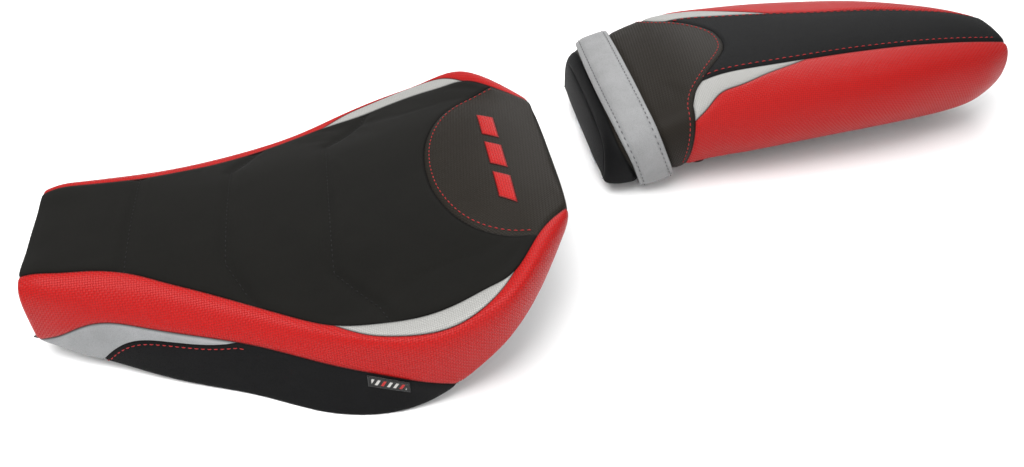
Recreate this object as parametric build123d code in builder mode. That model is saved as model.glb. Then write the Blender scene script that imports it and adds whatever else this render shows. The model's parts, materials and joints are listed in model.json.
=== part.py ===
from build123d import *
from math import atan2, degrees
import os

os.makedirs("parts", exist_ok=True)

# Two-piece motorcycle seat: a rider seat and, behind and beside it, a pillion seat with a grab strap.
# Millimetres. +X points to the nose (front), +Y to the rider's left, +Z up, and the floor is z = 0.
# Along each seat, positions are given as the distance back from its front end.

# ---- driving dimensions: rider seat ----
rider_length = 400.0
rider_half_width = 165.0
rider_height = 105.0

# ---- driving dimensions: pillion seat ----
pillion_length = 410.0
pillion_half_width = 93.0
pillion_height = 91.5
pillion_stand_height = 12.0
pillion_gap_behind_rider = 67.0
pillion_offset_to_right = 144.0

# ---- covers, foam and base pans ----
cover_thickness = 2.5
hem_width = 14.0
plate_thickness = 3.0
rim_inset = 17.0
rib_thickness = 2.5
rib_depth = 9.0
label_length = 38.0
label_height = 9.0
label_thickness = 0.8

# ---- staples ----
staple_crown = 10.0
staple_wire = 0.7
staple_leg = 4.6
staple_edge_inset = 7.0
staple_sink = 0.2

# ---- rubber bumpers, their bosses and the threaded inserts ----
bumper_radius = 10.0
bumper_height = 8.0
bumper_stem_radius = 3.0
bumper_stem_length = 8.0
bumper_stem_clearance = 0.1
boss_wall = 5.0
insert_radius = 5.0
insert_thread_radius = 2.5
insert_length = 12.0
insert_half_spacing = 60.0
insert_boss_wall = 3.0
insert_distance_back = 215.0

# ---- sheet-steel tongues, striker and rivets ----
steel_thickness = 2.5
tongue_width = 40.0
hook_width = 20.0
hook_half_spacing = 30.0
tongue_tip_back = 3.0
tongue_flat_length = 22.0
tongue_foot_start = 48.0
tongue_foot_end = 78.0
tongue_tip_height = 7.0
hook_tip_height = 3.0
rivet_radius = 2.4
rivet_head_radius = 4.5
rivet_head_height = 1.4
striker_wire_radius = 3.0
striker_half_width = 15.0
striker_plate_length = 36.0
striker_plate_width = 66.0
striker_rivet_half_spacing = 26.0
striker_distance_back = 290.0

# ---- grab strap ----
strap_width = 35.0
strap_thickness = 5.0
strap_clearance = 0.4
strap_top_back = 29.0
strap_bottom_back = 49.0
strap_end_tuck = 34.0
strap_screw_radius = 2.5
strap_screw_head_radius = 5.5
strap_screw_head_height = 2.4
strap_washer_radius = 8.5
strap_washer_thickness = 1.2

# ---- how the two seats stand beside each other ----
strap_stands_out = strap_clearance + strap_thickness
set_length = rider_length + pillion_gap_behind_rider + pillion_length
far_side = pillion_offset_to_right + pillion_half_width + strap_stands_out
rider_nose_x = set_length / 2
rider_centre_y = (far_side - rider_half_width) / 2
pillion_nose_x = rider_nose_x - rider_length - pillion_gap_behind_rider
pillion_centre_y = rider_centre_y - pillion_offset_to_right
reach = 2 * set_length

# Cross sections of the rider seat, drawn on a master 400 long, 165 half wide and 105 high:
# distance back, crown height, then half width and height at the top seam, the shoulder,
# the belly and the bottom edge.
rider_master = (400.0, 165.0, 105.0)
rider_sections = [
    (0, 72, 50, 72, 55, 56, 60, 36, 61, 18),
    (7, 76, 52, 76, 59, 59, 65, 37, 67, 16),
    (24, 77, 52, 76, 61, 60, 70, 38, 74, 12),
    (48, 77, 54, 76, 64, 62, 76, 44, 83, 8),
    (80, 77, 63, 72, 74, 58, 85, 42, 98, 4),
    (120, 76, 79, 67, 90, 54, 99, 40, 115, 1),
    (160, 76, 98, 64, 107, 52, 114, 38, 132, 0),
    (200, 77, 119, 61, 126, 50, 133, 35, 154, 0),
    (240, 80, 138, 62, 143, 48, 149, 32, 165, 0),
    (280, 89, 145, 72, 154, 52, 160, 24, 163, 4),
    (320, 98, 139, 84, 153, 68, 156, 42, 155, 26),
    (349, 103, 129, 94, 142, 85, 146, 63, 146, 52),
    (370, 105, 103, 100, 122, 94, 127, 78, 126, 70),
    (400, 103, 74, 100, 78, 96, 78, 91, 76, 86),
]
rider_bottom_edge = [
    (0, 18), (24, 12), (48, 8), (80, 4), (120, 1), (160, 0), (200, 0), (240, 0),
    (280, 4), (300, 13), (320, 26), (349, 50), (370, 67), (400, 86),
]
rider_plate_underside = [
    (0, 30), (60, 28), (150, 26), (240, 26), (285, 33), (320, 47), (349, 62), (370, 73), (400, 86),
]
rider_top_seam = [
    (0, 52), (24, 52), (48, 54), (80, 63), (120, 79), (160, 98), (200, 119), (220, 130),
    (240, 138), (280, 145), (320, 139), (349, 129), (370, 103), (400, 74),
]
rider_band_lower_edge = [
    (-20, 10), (0, 18), (14, 27), (32, 38), (50, 44), (80, 42), (120, 40), (160, 38), (200, 35),
    (240, 32), (267, 28), (302, 14), (330, -8),
]
rider_skirt_upper_edge = [
    (20, -30), (40, 4), (64, 28), (92, 34), (144, 38), (156, 41), (200, 50), (340, 60),
]
rider_insert_lower_edge = [
    (120, 110), (160, 84), (190, 68), (219, 60), (240, 56), (260, 54), (275, 56), (307, 64),
    (330, 77), (349, 94), (372, 118),
]
rider_hump_front_edge = [
    (0, 300), (25, 302), (50, 309), (72, 321), (90, 341), (103, 370), (112, 400),
]

# Cross sections of the pillion seat, drawn on a master 406 long, 92 half wide and 90.5 high.
pillion_master = (406.0, 92.0, 90.5)
pillion_sections = [
    (0, 45, 60, 41, 76, 32, 82, 18, 79, 0),
    (7, 52, 64, 48, 81, 36, 87, 20, 83, 1),
    (28, 60, 65, 55, 84, 42, 90, 24, 82, 3),
    (59, 72, 62, 67, 86, 54, 91, 30, 80, 9),
    (94, 86, 56, 82, 84, 69, 92, 37, 78, 13),
    (133, 90, 51, 87, 83, 75, 92, 40, 76, 15),
    (183, 90, 50, 87, 81, 78, 89, 43, 72, 17),
    (241, 90, 46, 86, 76, 78, 83, 45, 66, 19),
    (296, 88, 38, 85, 66, 78, 73, 48, 57, 24),
    (342, 85, 31, 82, 54, 76, 61, 52, 47, 30),
    (381, 80, 27, 77, 40, 72, 47, 54, 37, 36),
    (406, 73, 19, 71, 25, 68, 28, 56, 22, 44),
]
pillion_bottom_edge = [
    (0, 0), (28, 3), (59, 9), (94, 13), (133, 15), (183, 17), (241, 19), (296, 24),
    (342, 30), (381, 36), (406, 44),
]
pillion_plate_underside = [
    (0, 20), (60, 25), (130, 29), (200, 30), (260, 31), (320, 36), (370, 44), (406, 52),
]
pillion_strip_edge = [
    (0, 64), (28, 65), (59, 62), (94, 56), (133, 51), (183, 50), (241, 46), (296, 38),
    (342, 31), (381, 27), (406, 22),
]
pillion_front_seam = [(36, -6), (33, 0), (24, 17), (14, 34), (8, 46), (6, 58), (5, 100)]
pillion_wrap_rear_edge = [
    (0, 128), (16, 125), (32, 115), (46, 101), (58, 91), (68, 84), (80, 79), (110, 78),
]
pillion_insert_lower_edge = [(60, 30), (78, 48), (90, 60), (103, 70), (130, 79), (160, 84), (192, 88), (230, 96)]
pillion_strip_tail_height = 60.0


class SeatForm:
    """The form of one seat: sections mirrored about its centre plane, scaled from its master."""

    def __init__(self, nose_x, centre_y, base_z, size, master, sections, bottom_edge):
        self.nose_x = nose_x
        self.centre_y = centre_y
        self.base_z = base_z
        self.scale_x = size[0] / master[0]
        self.scale_y = size[1] / master[1]
        self.scale_z = size[2] / master[2]
        self.length = size[0]
        self.sections = sections
        self.bottom_edge = bottom_edge

    def place_side(self, back, height):
        """A master point on the side view, as row X and Z."""
        return (self.nose_x - back * self.scale_x, self.base_z + height * self.scale_z)

    def place_plan(self, back, half_width, side):
        """A master point on the plan, as row X and Y."""
        return (self.nose_x - back * self.scale_x, self.centre_y + side * half_width * self.scale_y)

    def half_outline(self, row, inset):
        """Half a cross section from crown to bottom edge, each point moved inwards by inset."""
        crown, seam_y, seam_z = row[1], row[2], row[3]
        drawn = [(0, crown), (seam_y * 0.55, crown - (crown - seam_z) * 0.28)]
        drawn += [(row[i], row[i + 1]) for i in range(2, 10, 2)]
        points = [(y * self.scale_y, z * self.scale_z) for y, z in drawn]
        moved = [(0.0, points[0][1] - inset)]
        for before, here, after in zip(points, points[1:], points[2:] + points[-1:]):
            run_y = after[0] - before[0]
            run_z = after[1] - before[1]
            run = (run_y**2 + run_z**2) ** 0.5
            moved.append((here[0] + inset * run_z / run, here[1] - inset * run_y / run))
        return moved

    def solid(self, inset):
        """The whole form moved inwards by inset (outwards when negative), open ended below."""
        skirt = -reach / 20
        with BuildPart() as form:
            for number, row in enumerate(self.sections):
                back = row[0] * self.scale_x
                if number == 0:
                    back = inset
                if number == len(self.sections) - 1:
                    back = self.length - inset
                half = self.half_outline(row, inset)
                over = [(-y, z) for y, z in reversed(half)] + half[1:]
                outline = [(y + self.centre_y, z + self.base_z) for y, z in over]
                with BuildSketch(Plane((self.nose_x - back, 0, 0), x_dir=(0, 1, 0), z_dir=(1, 0, 0))):
                    with BuildLine():
                        Spline(*outline)
                        Polyline(
                            outline[-1],
                            (outline[-1][0], skirt),
                            (outline[0][0], skirt),
                            outline[0],
                        )
                    make_face()
            loft()
        return form.part

    def under(self, edge, lift):
        """Everything below a side-view edge that is raised by lift."""
        points = [self.place_side(back, height) for back, height in edge]
        points = [(x, z + lift) for x, z in points]
        front = (points[0][0] + reach / 2, points[0][1])
        rear = (points[-1][0] - reach / 2, points[-1][1])
        with BuildPart() as block:
            with BuildSketch(Plane.XZ):
                with BuildLine():
                    Spline(*points)
                    Polyline(points[-1], rear, (rear[0], -reach / 4), (front[0], -reach / 4), front, points[0])
                make_face()
            extrude(amount=reach / 2, both=True)
        return block.part

    def within(self, edge, inset):
        """Everything between the two mirrored plan edges, moved inwards by inset."""
        left = [self.place_plan(back, half, 1) for back, half in edge]
        left = [(x, y - inset) for x, y in left]
        right = [(x, 2 * self.centre_y - y) for x, y in left]
        with BuildPart() as block:
            with BuildSketch(Plane.XY):
                with BuildLine():
                    Spline(*left)
                    Line(left[-1], right[-1])
                    Spline(*right)
                    Line(right[0], left[0])
                make_face()
            extrude(amount=reach / 2, both=True)
        return block.part

    def tray(self, inset):
        """The plan inside the bottom edge, moved inwards by inset at the sides and both ends."""
        edge = [(row[0], row[8]) for row in self.sections]
        with BuildPart() as block:
            add(self.within(edge, inset))
            with BuildSketch(Plane.XY):
                with Locations((self.nose_x - self.length / 2, self.centre_y)):
                    Rectangle(self.length - 2 * inset, reach)
            extrude(amount=reach / 2, both=True, mode=Mode.INTERSECT)
        return block.part

    def behind(self, edge):
        """Everything behind a plan curve given as (half width, distance back), mirrored."""
        left = [self.place_plan(back, half, 1) for half, back in edge]
        right = [(x, 2 * self.centre_y - y) for x, y in left[1:]]
        curve = right[::-1] + left
        rear = self.nose_x - reach / 2
        with BuildPart() as block:
            with BuildSketch(Plane.XY):
                with BuildLine():
                    Spline(*curve)
                    Polyline(
                        curve[-1],
                        (curve[-1][0], self.centre_y + reach / 4),
                        (rear, self.centre_y + reach / 4),
                        (rear, self.centre_y - reach / 4),
                        (curve[0][0], self.centre_y - reach / 4),
                        curve[0],
                    )
                make_face()
            extrude(amount=reach / 2, both=True)
        return block.part

    def before(self, edge):
        """Everything in front of a side-view curve."""
        points = [self.place_side(back, height) for back, height in edge]
        front = points[0][0] + reach / 4
        with BuildPart() as block:
            with BuildSketch(Plane.XZ):
                with BuildLine():
                    Spline(*points)
                    Polyline(points[-1], (front, points[-1][1]), (front, points[0][1]), points[0])
                make_face()
            extrude(amount=reach / 2, both=True)
        return block.part

    def left_half(self):
        """Everything to the left of the centre plane."""
        with BuildPart() as block:
            with Locations((self.nose_x, self.centre_y, 0)):
                Box(reach, reach, reach, align=(Align.CENTER, Align.MIN, Align.CENTER))
        return block.part

    def height_on(self, edge, back):
        """Height of a side-view edge at a distance back, and its slope in degrees."""
        points = [self.place_side(along, height) for along, height in edge]
        curve = Spline(*points, mode=Mode.PRIVATE)
        low, high = 0.0, 1.0
        wanted = self.nose_x - back
        for _ in range(40):
            middle = (low + high) / 2
            if (curve @ middle).X > wanted:
                low = middle
            else:
                high = middle
        tangent = curve % low
        return (curve @ low).Y, degrees(atan2(-tangent.Y, -tangent.X))

    def half_width_on(self, back):
        """Half width of the bottom edge at a distance back, straight between sections."""
        for first, second in zip(self.sections, self.sections[1:]):
            start, end = first[0] * self.scale_x, second[0] * self.scale_x
            if start <= back <= end:
                share = (back - start) / (end - start)
                return (first[8] + (second[8] - first[8]) * share) * self.scale_y
        return 0.0


def save(part, name):
    """Labels a finished piece and writes it."""
    part.label = name
    export_step(part, f"parts/{name}.step")


def cut(body, *tools):
    """A body with tools removed."""
    with BuildPart() as result:
        add(body)
        for tool in tools:
            add(tool, mode=Mode.SUBTRACT)
    return result.part


def common(body, *tools):
    """The stretch of a body that lies inside every tool."""
    with BuildPart() as result:
        add(body)
        for tool in tools:
            add(tool, mode=Mode.INTERSECT)
    return result.part


def save_pair(seat, left_part, name):
    """Writes a left piece and its mirror image on the right."""
    save(left_part, f"{name}_left")
    with BuildPart() as right:
        add(left_part)
        mirror(about=Plane.XZ.offset(-seat.centre_y), mode=Mode.REPLACE)
    save(right.part, f"{name}_right")


def staple_set(seat, distances):
    """U-shaped wire staples through the hem into the pan, one each side at each distance back."""
    with BuildPart() as staples:
        for back in distances:
            edge_height, slope = seat.height_on(seat.bottom_edge, back)
            offset = seat.half_width_on(back) - staple_edge_inset
            for side in (-1, 1):
                place = (seat.nose_x - back, seat.centre_y + side * offset, edge_height + staple_sink)
                with Locations(Plane(place).rotated((0, -slope, 0))):
                    Box(staple_crown, staple_wire, staple_wire, align=(Align.CENTER, Align.CENTER, Align.MIN))
                    leg_shift = (staple_crown - staple_wire) / 2
                    with Locations((-leg_shift, 0, 0), (leg_shift, 0, 0)):
                        Box(
                            staple_wire,
                            staple_wire,
                            staple_leg,
                            align=(Align.CENTER, Align.CENTER, Align.MIN),
                        )
    return staples.part


def bumper_set(seat, spots):
    """Rubber bumpers standing on the floor, each with a stem that presses up into its boss."""
    with BuildPart() as bumpers:
        for back, offset in spots:
            for side in (-1, 1):
                with Locations((seat.nose_x - back, seat.centre_y + side * offset, 0)):
                    Cylinder(bumper_radius, bumper_height, align=(Align.CENTER, Align.CENTER, Align.MIN))
                    Cylinder(
                        bumper_stem_radius,
                        bumper_height + bumper_stem_length,
                        align=(Align.CENTER, Align.CENTER, Align.MIN),
                    )
    return bumpers.part


def bosses(seat, spots, radius, foot, plate_underside):
    """Round posts from the height foot up into the pan's plate."""
    with BuildPart() as posts:
        for back, offset in spots:
            for side in (-1, 1):
                with Locations((seat.nose_x - back, seat.centre_y + side * offset, foot)):
                    Cylinder(radius, reach / 4, align=(Align.CENTER, Align.CENTER, Align.MIN))
        add(seat.under(plate_underside, plate_thickness / 2), mode=Mode.INTERSECT)
    return posts.part


def bores(seat, spots, radius, foot, depth):
    """Blind holes of a depth, up from the height foot."""
    with BuildPart() as holes:
        for back, offset in spots:
            for side in (-1, 1):
                with Locations((seat.nose_x - back, seat.centre_y + side * offset, foot)):
                    Cylinder(radius, depth, align=(Align.CENTER, Align.CENTER, Align.MIN))
    return holes.part


def rib_set(seat, plate_underside, lengthways, crossways, rib_start, rib_end, rib_half_width):
    """A grid of shallow ribs under the pan's plate."""
    with BuildPart() as ribs:
        for offset in lengthways:
            middle = seat.nose_x - (rib_start + rib_end) / 2
            with Locations((middle, seat.centre_y + offset, 0)):
                Box(rib_end - rib_start, rib_thickness, reach / 2)
        for back in crossways:
            with Locations((seat.nose_x - back, seat.centre_y, 0)):
                Box(rib_thickness, 2 * rib_half_width, reach / 2)
        add(seat.tray(rim_inset + plate_thickness / 2), mode=Mode.INTERSECT)
        add(seat.under(plate_underside, plate_thickness / 2), mode=Mode.INTERSECT)
        add(seat.under(plate_underside, -rib_depth), mode=Mode.SUBTRACT)
        add(seat.under(seat.bottom_edge, cover_thickness), mode=Mode.SUBTRACT)
    return ribs.part


def flat_pad(seat, plate_underside, back, offset, length, width, face):
    """A moulded pad that gives the sloping plate one level face at the height face."""
    with BuildPart() as pad:
        with Locations((seat.nose_x - back, seat.centre_y + offset, face)):
            Box(length, width, reach / 4, align=(Align.CENTER, Align.CENTER, Align.MIN))
        add(seat.under(plate_underside, plate_thickness / 2), mode=Mode.INTERSECT)
    return pad.part


def rivet_set(seat, spots, face):
    """Blind rivets up through steel that lies under a pad's level face."""
    head_top = face - steel_thickness
    with BuildPart() as rivets:
        for back, offset in spots:
            with Locations((seat.nose_x - back, seat.centre_y + offset, head_top - rivet_head_height)):
                Cylinder(rivet_head_radius, rivet_head_height, align=(Align.CENTER, Align.CENTER, Align.MIN))
                Cylinder(
                    rivet_radius,
                    rivet_head_height + steel_thickness + plate_thickness,
                    align=(Align.CENTER, Align.CENTER, Align.MIN),
                )
    return rivets.part


def tongue(seat, offset, width, face, tip_height):
    """A pressed steel tongue: a foot on its pad, a slope down and a level tip that points forward."""
    foot_low = face - steel_thickness
    profile = [
        (tongue_foot_end, foot_low),
        (tongue_foot_start, foot_low),
        (tongue_flat_length, tip_height),
        (tongue_tip_back, tip_height),
        (tongue_tip_back, tip_height + steel_thickness),
        (tongue_flat_length, tip_height + steel_thickness),
        (tongue_foot_start, face),
        (tongue_foot_end, face),
    ]
    with BuildPart() as strip:
        with BuildSketch(Plane.XZ.offset(-seat.centre_y - offset)):
            with BuildLine():
                Polyline([(seat.nose_x - back, height) for back, height in profile], close=True)
            make_face()
        extrude(amount=width / 2, both=True)
    return strip.part


# ---- rider seat: form, cover, foam and pan ----
rider = SeatForm(
    rider_nose_x,
    rider_centre_y,
    0.0,
    (rider_length, rider_half_width, rider_height),
    rider_master,
    rider_sections,
    rider_bottom_edge,
)
rider_bumper_spots = [(42.0, 38.0), (285.0, 100.0)]
rider_insert_spots = [(insert_distance_back, insert_half_spacing)]
rider_tongue_face = 26.0
rider_rivet_spots = [(tongue_foot_start + 15, -10), (tongue_foot_start + 15, 10)]
rider_staple_distances = [30, 58, 86, 114, 142, 170, 198, 226, 254]
insert_foot = 14.0


def cover_and_core(seat):
    """The cover as one hollow skin with a hem turned under, and the space inside it."""
    outer = cut(seat.solid(0), seat.under(seat.bottom_edge, 0))
    core = cut(seat.solid(cover_thickness), seat.under(seat.bottom_edge, cover_thickness))
    hem_window = common(seat.tray(hem_width), seat.under(seat.bottom_edge, cover_thickness + 1))
    return cut(outer, core, hem_window), core


def pan_and_foam(seat, core, plate_underside):
    """The moulded base pan, a plate with a wall and a stapling rim, and the foam that fills the rest."""
    with BuildPart() as hard_zone:
        add(seat.tray(rim_inset))
        add(seat.under(plate_underside, plate_thickness), mode=Mode.INTERSECT)
        add(seat.under(seat.bottom_edge, cover_thickness + plate_thickness))
    hollow = common(seat.tray(rim_inset + plate_thickness), seat.under(plate_underside, 0))
    return cut(common(core, hard_zone.part), hollow), cut(core, hard_zone.part)


rider_skin, rider_core = cover_and_core(rider)
rider_pan_shell, rider_foam = pan_and_foam(rider, rider_core, rider_plate_underside)
rider_staples = staple_set(rider, rider_staple_distances)

with BuildPart() as rider_pan:
    add(rider_pan_shell)
    add(rib_set(rider, rider_plate_underside, (-60, 0, 60), (110, 160, 215, 270), 95, 345, 130))
    add(bosses(rider, rider_bumper_spots, bumper_stem_radius + boss_wall, bumper_height, rider_plate_underside))
    add(bosses(rider, rider_insert_spots, insert_radius + insert_boss_wall, insert_foot, rider_plate_underside))
    add(
        flat_pad(
            rider,
            rider_plate_underside,
            (tongue_foot_start + tongue_foot_end) / 2,
            0,
            tongue_foot_end - tongue_foot_start,
            tongue_width,
            rider_tongue_face,
        )
    )
    add(
        bores(
            rider,
            rider_bumper_spots,
            bumper_stem_radius + bumper_stem_clearance,
            bumper_height,
            bumper_stem_length + 1,
        ),
        mode=Mode.SUBTRACT,
    )
    add(bores(rider, rider_insert_spots, insert_radius, insert_foot, insert_length), mode=Mode.SUBTRACT)
    add(rivet_set(rider, rider_rivet_spots, rider_tongue_face), mode=Mode.SUBTRACT)
    add(rider_staples, mode=Mode.SUBTRACT)
save(rider_pan.part, "rider_base_pan")
save(rider_foam, "rider_foam")
save(rider_staples, "rider_staples")
save(bumper_set(rider, rider_bumper_spots), "rider_bumpers")

with BuildPart() as rider_inserts:
    add(bores(rider, rider_insert_spots, insert_radius, insert_foot, insert_length))
    add(
        bores(rider, rider_insert_spots, insert_thread_radius, insert_foot, insert_length),
        mode=Mode.SUBTRACT,
    )
save(rider_inserts.part, "rider_threaded_inserts")

rider_rivets = rivet_set(rider, rider_rivet_spots, rider_tongue_face)
save(rider_rivets, "rider_tongue_rivets")
rider_tongue = tongue(rider, 0, tongue_width, rider_tongue_face, tongue_tip_height)
save(cut(rider_tongue, rider_rivets), "rider_front_tongue")

# ---- rider seat: cover panels ----
rider_top_zone = rider.within(rider_top_seam, 0)
rider_below_band = rider.under(rider_band_lower_edge, 0)
rider_skirt_zone = rider.under(rider_skirt_upper_edge, 0)
rider_below_insert = rider.under(rider_insert_lower_edge, 0)
rider_hump_zone = rider.behind(rider_hump_front_edge)
nose_panel_half_width = 54.0
nose_panel_top = 64.0
with BuildPart() as rider_nose_zone:
    with Locations((rider_nose_x, rider_centre_y, nose_panel_top)):
        Box(2 * hem_width + 1, 2 * nose_panel_half_width, reach, align=(Align.CENTER, Align.CENTER, Align.MAX))

save(common(rider_skin, rider_nose_zone.part), "rider_nose_panel")
rider_top_cover = cut(common(rider_skin, rider_top_zone), rider_nose_zone.part)
save(cut(rider_top_cover, rider_hump_zone), "rider_centre_panel")
save(common(rider_top_cover, rider_hump_zone), "rider_hump_panel")

rider_side_cover = cut(common(rider_skin, rider.left_half()), rider_top_zone, rider_nose_zone.part, rider_staples)
rider_lower_cover = common(rider_side_cover, rider_below_band)
rider_upper_cover = cut(rider_side_cover, rider_below_band)
save_pair(rider, common(rider_lower_cover, rider_skirt_zone), "rider_lower_side")
save_pair(rider, cut(rider_lower_cover, rider_skirt_zone), "rider_nose_insert")
save_pair(rider, common(rider_upper_cover, rider_below_insert), "rider_side_band")
save_pair(rider, cut(rider_upper_cover, rider_below_insert), "rider_upper_insert")

label_middle_back = 256.0
label_gap_below_seam = 2.0
label_stand_off = 0.1
with BuildPart() as rider_label:
    with Locations((rider_nose_x - label_middle_back, rider_centre_y, 0)):
        Box(label_length, reach, reach, align=(Align.CENTER, Align.MIN, Align.CENTER))
    add(rider.solid(-label_stand_off - label_thickness), mode=Mode.INTERSECT)
    add(rider.under(rider_band_lower_edge, -label_gap_below_seam), mode=Mode.INTERSECT)
    add(rider.under(rider_band_lower_edge, -label_gap_below_seam - label_height), mode=Mode.SUBTRACT)
    add(rider.solid(-label_stand_off), mode=Mode.SUBTRACT)
save(rider_label.part, "rider_label_tag")

# ---- pillion seat: form, cover, foam and pan ----
pillion = SeatForm(
    pillion_nose_x,
    pillion_centre_y,
    pillion_stand_height,
    (pillion_length, pillion_half_width, pillion_height),
    pillion_master,
    pillion_sections,
    pillion_bottom_edge,
)
pillion_bumper_spots = [(102.0, 42.0)]
pillion_hook_face = 34.0
striker_face = 40.0
pillion_staple_distances = [85, 115, 145, 175, 205, 235, 265, 300, 330]
hook_rivet_spots = [(tongue_foot_start + 15, -hook_half_spacing), (tongue_foot_start + 15, hook_half_spacing)]
striker_rivet_spots = [
    (striker_distance_back, -striker_rivet_half_spacing),
    (striker_distance_back, striker_rivet_half_spacing),
]

pillion_skin, pillion_core = cover_and_core(pillion)
pillion_pan_shell, pillion_foam = pan_and_foam(pillion, pillion_core, pillion_plate_underside)
pillion_staples = staple_set(pillion, pillion_staple_distances)

# The grab strap leans back as it goes down, and its ends tuck under the pan, where a screw and
# washer hold each to a boss that leans with the bottom edge.
strap_screw_back = strap_bottom_back - 1.0
strap_screw_inset = 23.0
strap_boss_radius = 7.5
strap_screw_length = 14.0
strap_washer_gap = 0.25
strap_lean_height = 60.0


def strap_place(side, drop):
    """A plane on the strap's underside at one screw, leaning with the bottom edge, lowered by drop."""
    height, slope = pillion.height_on(pillion_bottom_edge, strap_screw_back)
    offset = pillion.half_width_on(strap_screw_back) - strap_screw_inset
    origin = (pillion_nose_x - strap_screw_back, pillion_centre_y + side * offset, height)
    return Plane(origin).rotated((0, -slope, 0)).offset(-drop)


def strap_hardware(radius, drop, length):
    """A leaning cylinder at each strap screw, from a drop below the bottom edge upwards."""
    with BuildPart() as pieces:
        for side in (-1, 1):
            with Locations(strap_place(side, drop)):
                Cylinder(radius, length, align=(Align.CENTER, Align.CENTER, Align.MIN))
    return pieces.part


washer_drop = strap_stands_out + strap_washer_gap + strap_washer_thickness
strap_shank = strap_hardware(strap_screw_radius, washer_drop, washer_drop + strap_screw_length)
with BuildPart() as strap_screws:
    add(strap_shank)
    add(
        strap_hardware(
            strap_screw_head_radius, washer_drop + strap_screw_head_height, strap_screw_head_height
        )
    )
save(strap_screws.part, "strap_screws")
with BuildPart() as strap_washers:
    add(strap_hardware(strap_washer_radius, washer_drop, strap_washer_thickness))
    add(strap_shank, mode=Mode.SUBTRACT)
save(strap_washers.part, "strap_washers")

strap_lean = (strap_bottom_back - strap_top_back) / strap_lean_height
strap_low = -3 * strap_stands_out
strap_high = 2 * pillion_height
with BuildPart() as strap_zone:
    with BuildSketch(Plane.XZ):
        with BuildLine():
            Polyline(
                [
                    (
                        pillion_nose_x - (strap_bottom_back - strap_lean * height) + shift,
                        pillion_stand_height + height,
                    )
                    for height, shift in (
                        (strap_low, strap_width / 2),
                        (strap_high, strap_width / 2),
                        (strap_high, -strap_width / 2),
                        (strap_low, -strap_width / 2),
                    )
                ],
                close=True,
            )
        make_face()
    extrude(amount=reach / 2, both=True)

strap_outside = cut(pillion.solid(-strap_stands_out), pillion.under(pillion_bottom_edge, -strap_stands_out))
strap_inside = cut(pillion.solid(-strap_clearance), pillion.under(pillion_bottom_edge, -strap_clearance))
strap_gap_half_width = pillion.half_width_on(strap_screw_back) - strap_end_tuck
with BuildPart() as grab_strap:
    add(strap_outside)
    add(strap_zone.part, mode=Mode.INTERSECT)
    add(strap_inside, mode=Mode.SUBTRACT)
    with Locations((pillion_nose_x, pillion_centre_y, pillion_stand_height + strap_lean_height / 2)):
        Box(
            reach / 2,
            2 * strap_gap_half_width,
            reach / 4,
            align=(Align.CENTER, Align.CENTER, Align.MAX),
            mode=Mode.SUBTRACT,
        )
    add(strap_shank, mode=Mode.SUBTRACT)
save(grab_strap.part, "grab_strap")

with BuildPart() as striker_pads:
    add(
        flat_pad(
            pillion,
            pillion_plate_underside,
            striker_distance_back,
            0,
            striker_plate_length,
            striker_plate_width,
            striker_face,
        )
    )
    for side in (-1, 1):
        add(
            flat_pad(
                pillion,
                pillion_plate_underside,
                (tongue_foot_start + tongue_foot_end) / 2,
                side * hook_half_spacing,
                tongue_foot_end - tongue_foot_start,
                hook_width,
                pillion_hook_face,
            )
        )
strap_posts = common(
    strap_hardware(strap_boss_radius, 0, reach / 4),
    pillion.under(pillion_plate_underside, plate_thickness / 2),
    pillion.tray(rim_inset),
)
hook_rivets = rivet_set(pillion, hook_rivet_spots, pillion_hook_face)
striker_rivets = rivet_set(pillion, striker_rivet_spots, striker_face)
with BuildPart() as pillion_pan:
    add(pillion_pan_shell)
    add(rib_set(pillion, pillion_plate_underside, (-20, 20), (125, 165, 205, 245), 90, 265, 70))
    add(bosses(pillion, pillion_bumper_spots, bumper_stem_radius + boss_wall, bumper_height, pillion_plate_underside))
    add(striker_pads.part)
    add(strap_posts)
    add(
        bores(
            pillion,
            pillion_bumper_spots,
            bumper_stem_radius + bumper_stem_clearance,
            bumper_height,
            bumper_stem_length + 1,
        ),
        mode=Mode.SUBTRACT,
    )
    add(strap_shank, mode=Mode.SUBTRACT)
    add(hook_rivets, mode=Mode.SUBTRACT)
    add(striker_rivets, mode=Mode.SUBTRACT)
    add(pillion_staples, mode=Mode.SUBTRACT)
save(pillion_pan.part, "pillion_base_pan")
save(pillion_foam, "pillion_foam")
save(pillion_staples, "pillion_staples")
save(bumper_set(pillion, pillion_bumper_spots), "pillion_bumpers")

# ---- pillion seat: hooks and latch striker ----
with BuildPart() as front_hooks:
    for side in (-1, 1):
        add(tongue(pillion, side * hook_half_spacing, hook_width, pillion_hook_face, hook_tip_height))
    add(hook_rivets, mode=Mode.SUBTRACT)
save(front_hooks.part, "pillion_front_hooks")
save(hook_rivets, "pillion_hook_rivets")

striker_plate_low = striker_face - steel_thickness
with BuildPart() as striker:
    with Locations((pillion_nose_x - striker_distance_back, pillion_centre_y, striker_plate_low)):
        Box(
            striker_plate_length,
            striker_plate_width,
            steel_thickness,
            align=(Align.CENTER, Align.CENTER, Align.MIN),
        )
    with BuildLine(Plane.YZ.offset(pillion_nose_x - striker_distance_back)) as striker_path:
        FilletPolyline(
            (pillion_centre_y - striker_half_width, striker_plate_low + steel_thickness / 2),
            (pillion_centre_y - striker_half_width, striker_wire_radius),
            (pillion_centre_y + striker_half_width, striker_wire_radius),
            (pillion_centre_y + striker_half_width, striker_plate_low + steel_thickness / 2),
            radius=2.5 * striker_wire_radius,
        )
    with BuildSketch(Plane(origin=striker_path.line @ 0, z_dir=striker_path.line % 0)):
        Circle(striker_wire_radius)
    sweep(path=striker_path.line)
    add(striker_rivets, mode=Mode.SUBTRACT)
save(striker.part, "pillion_lock_striker")
save(striker_rivets, "pillion_striker_rivets")

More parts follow.
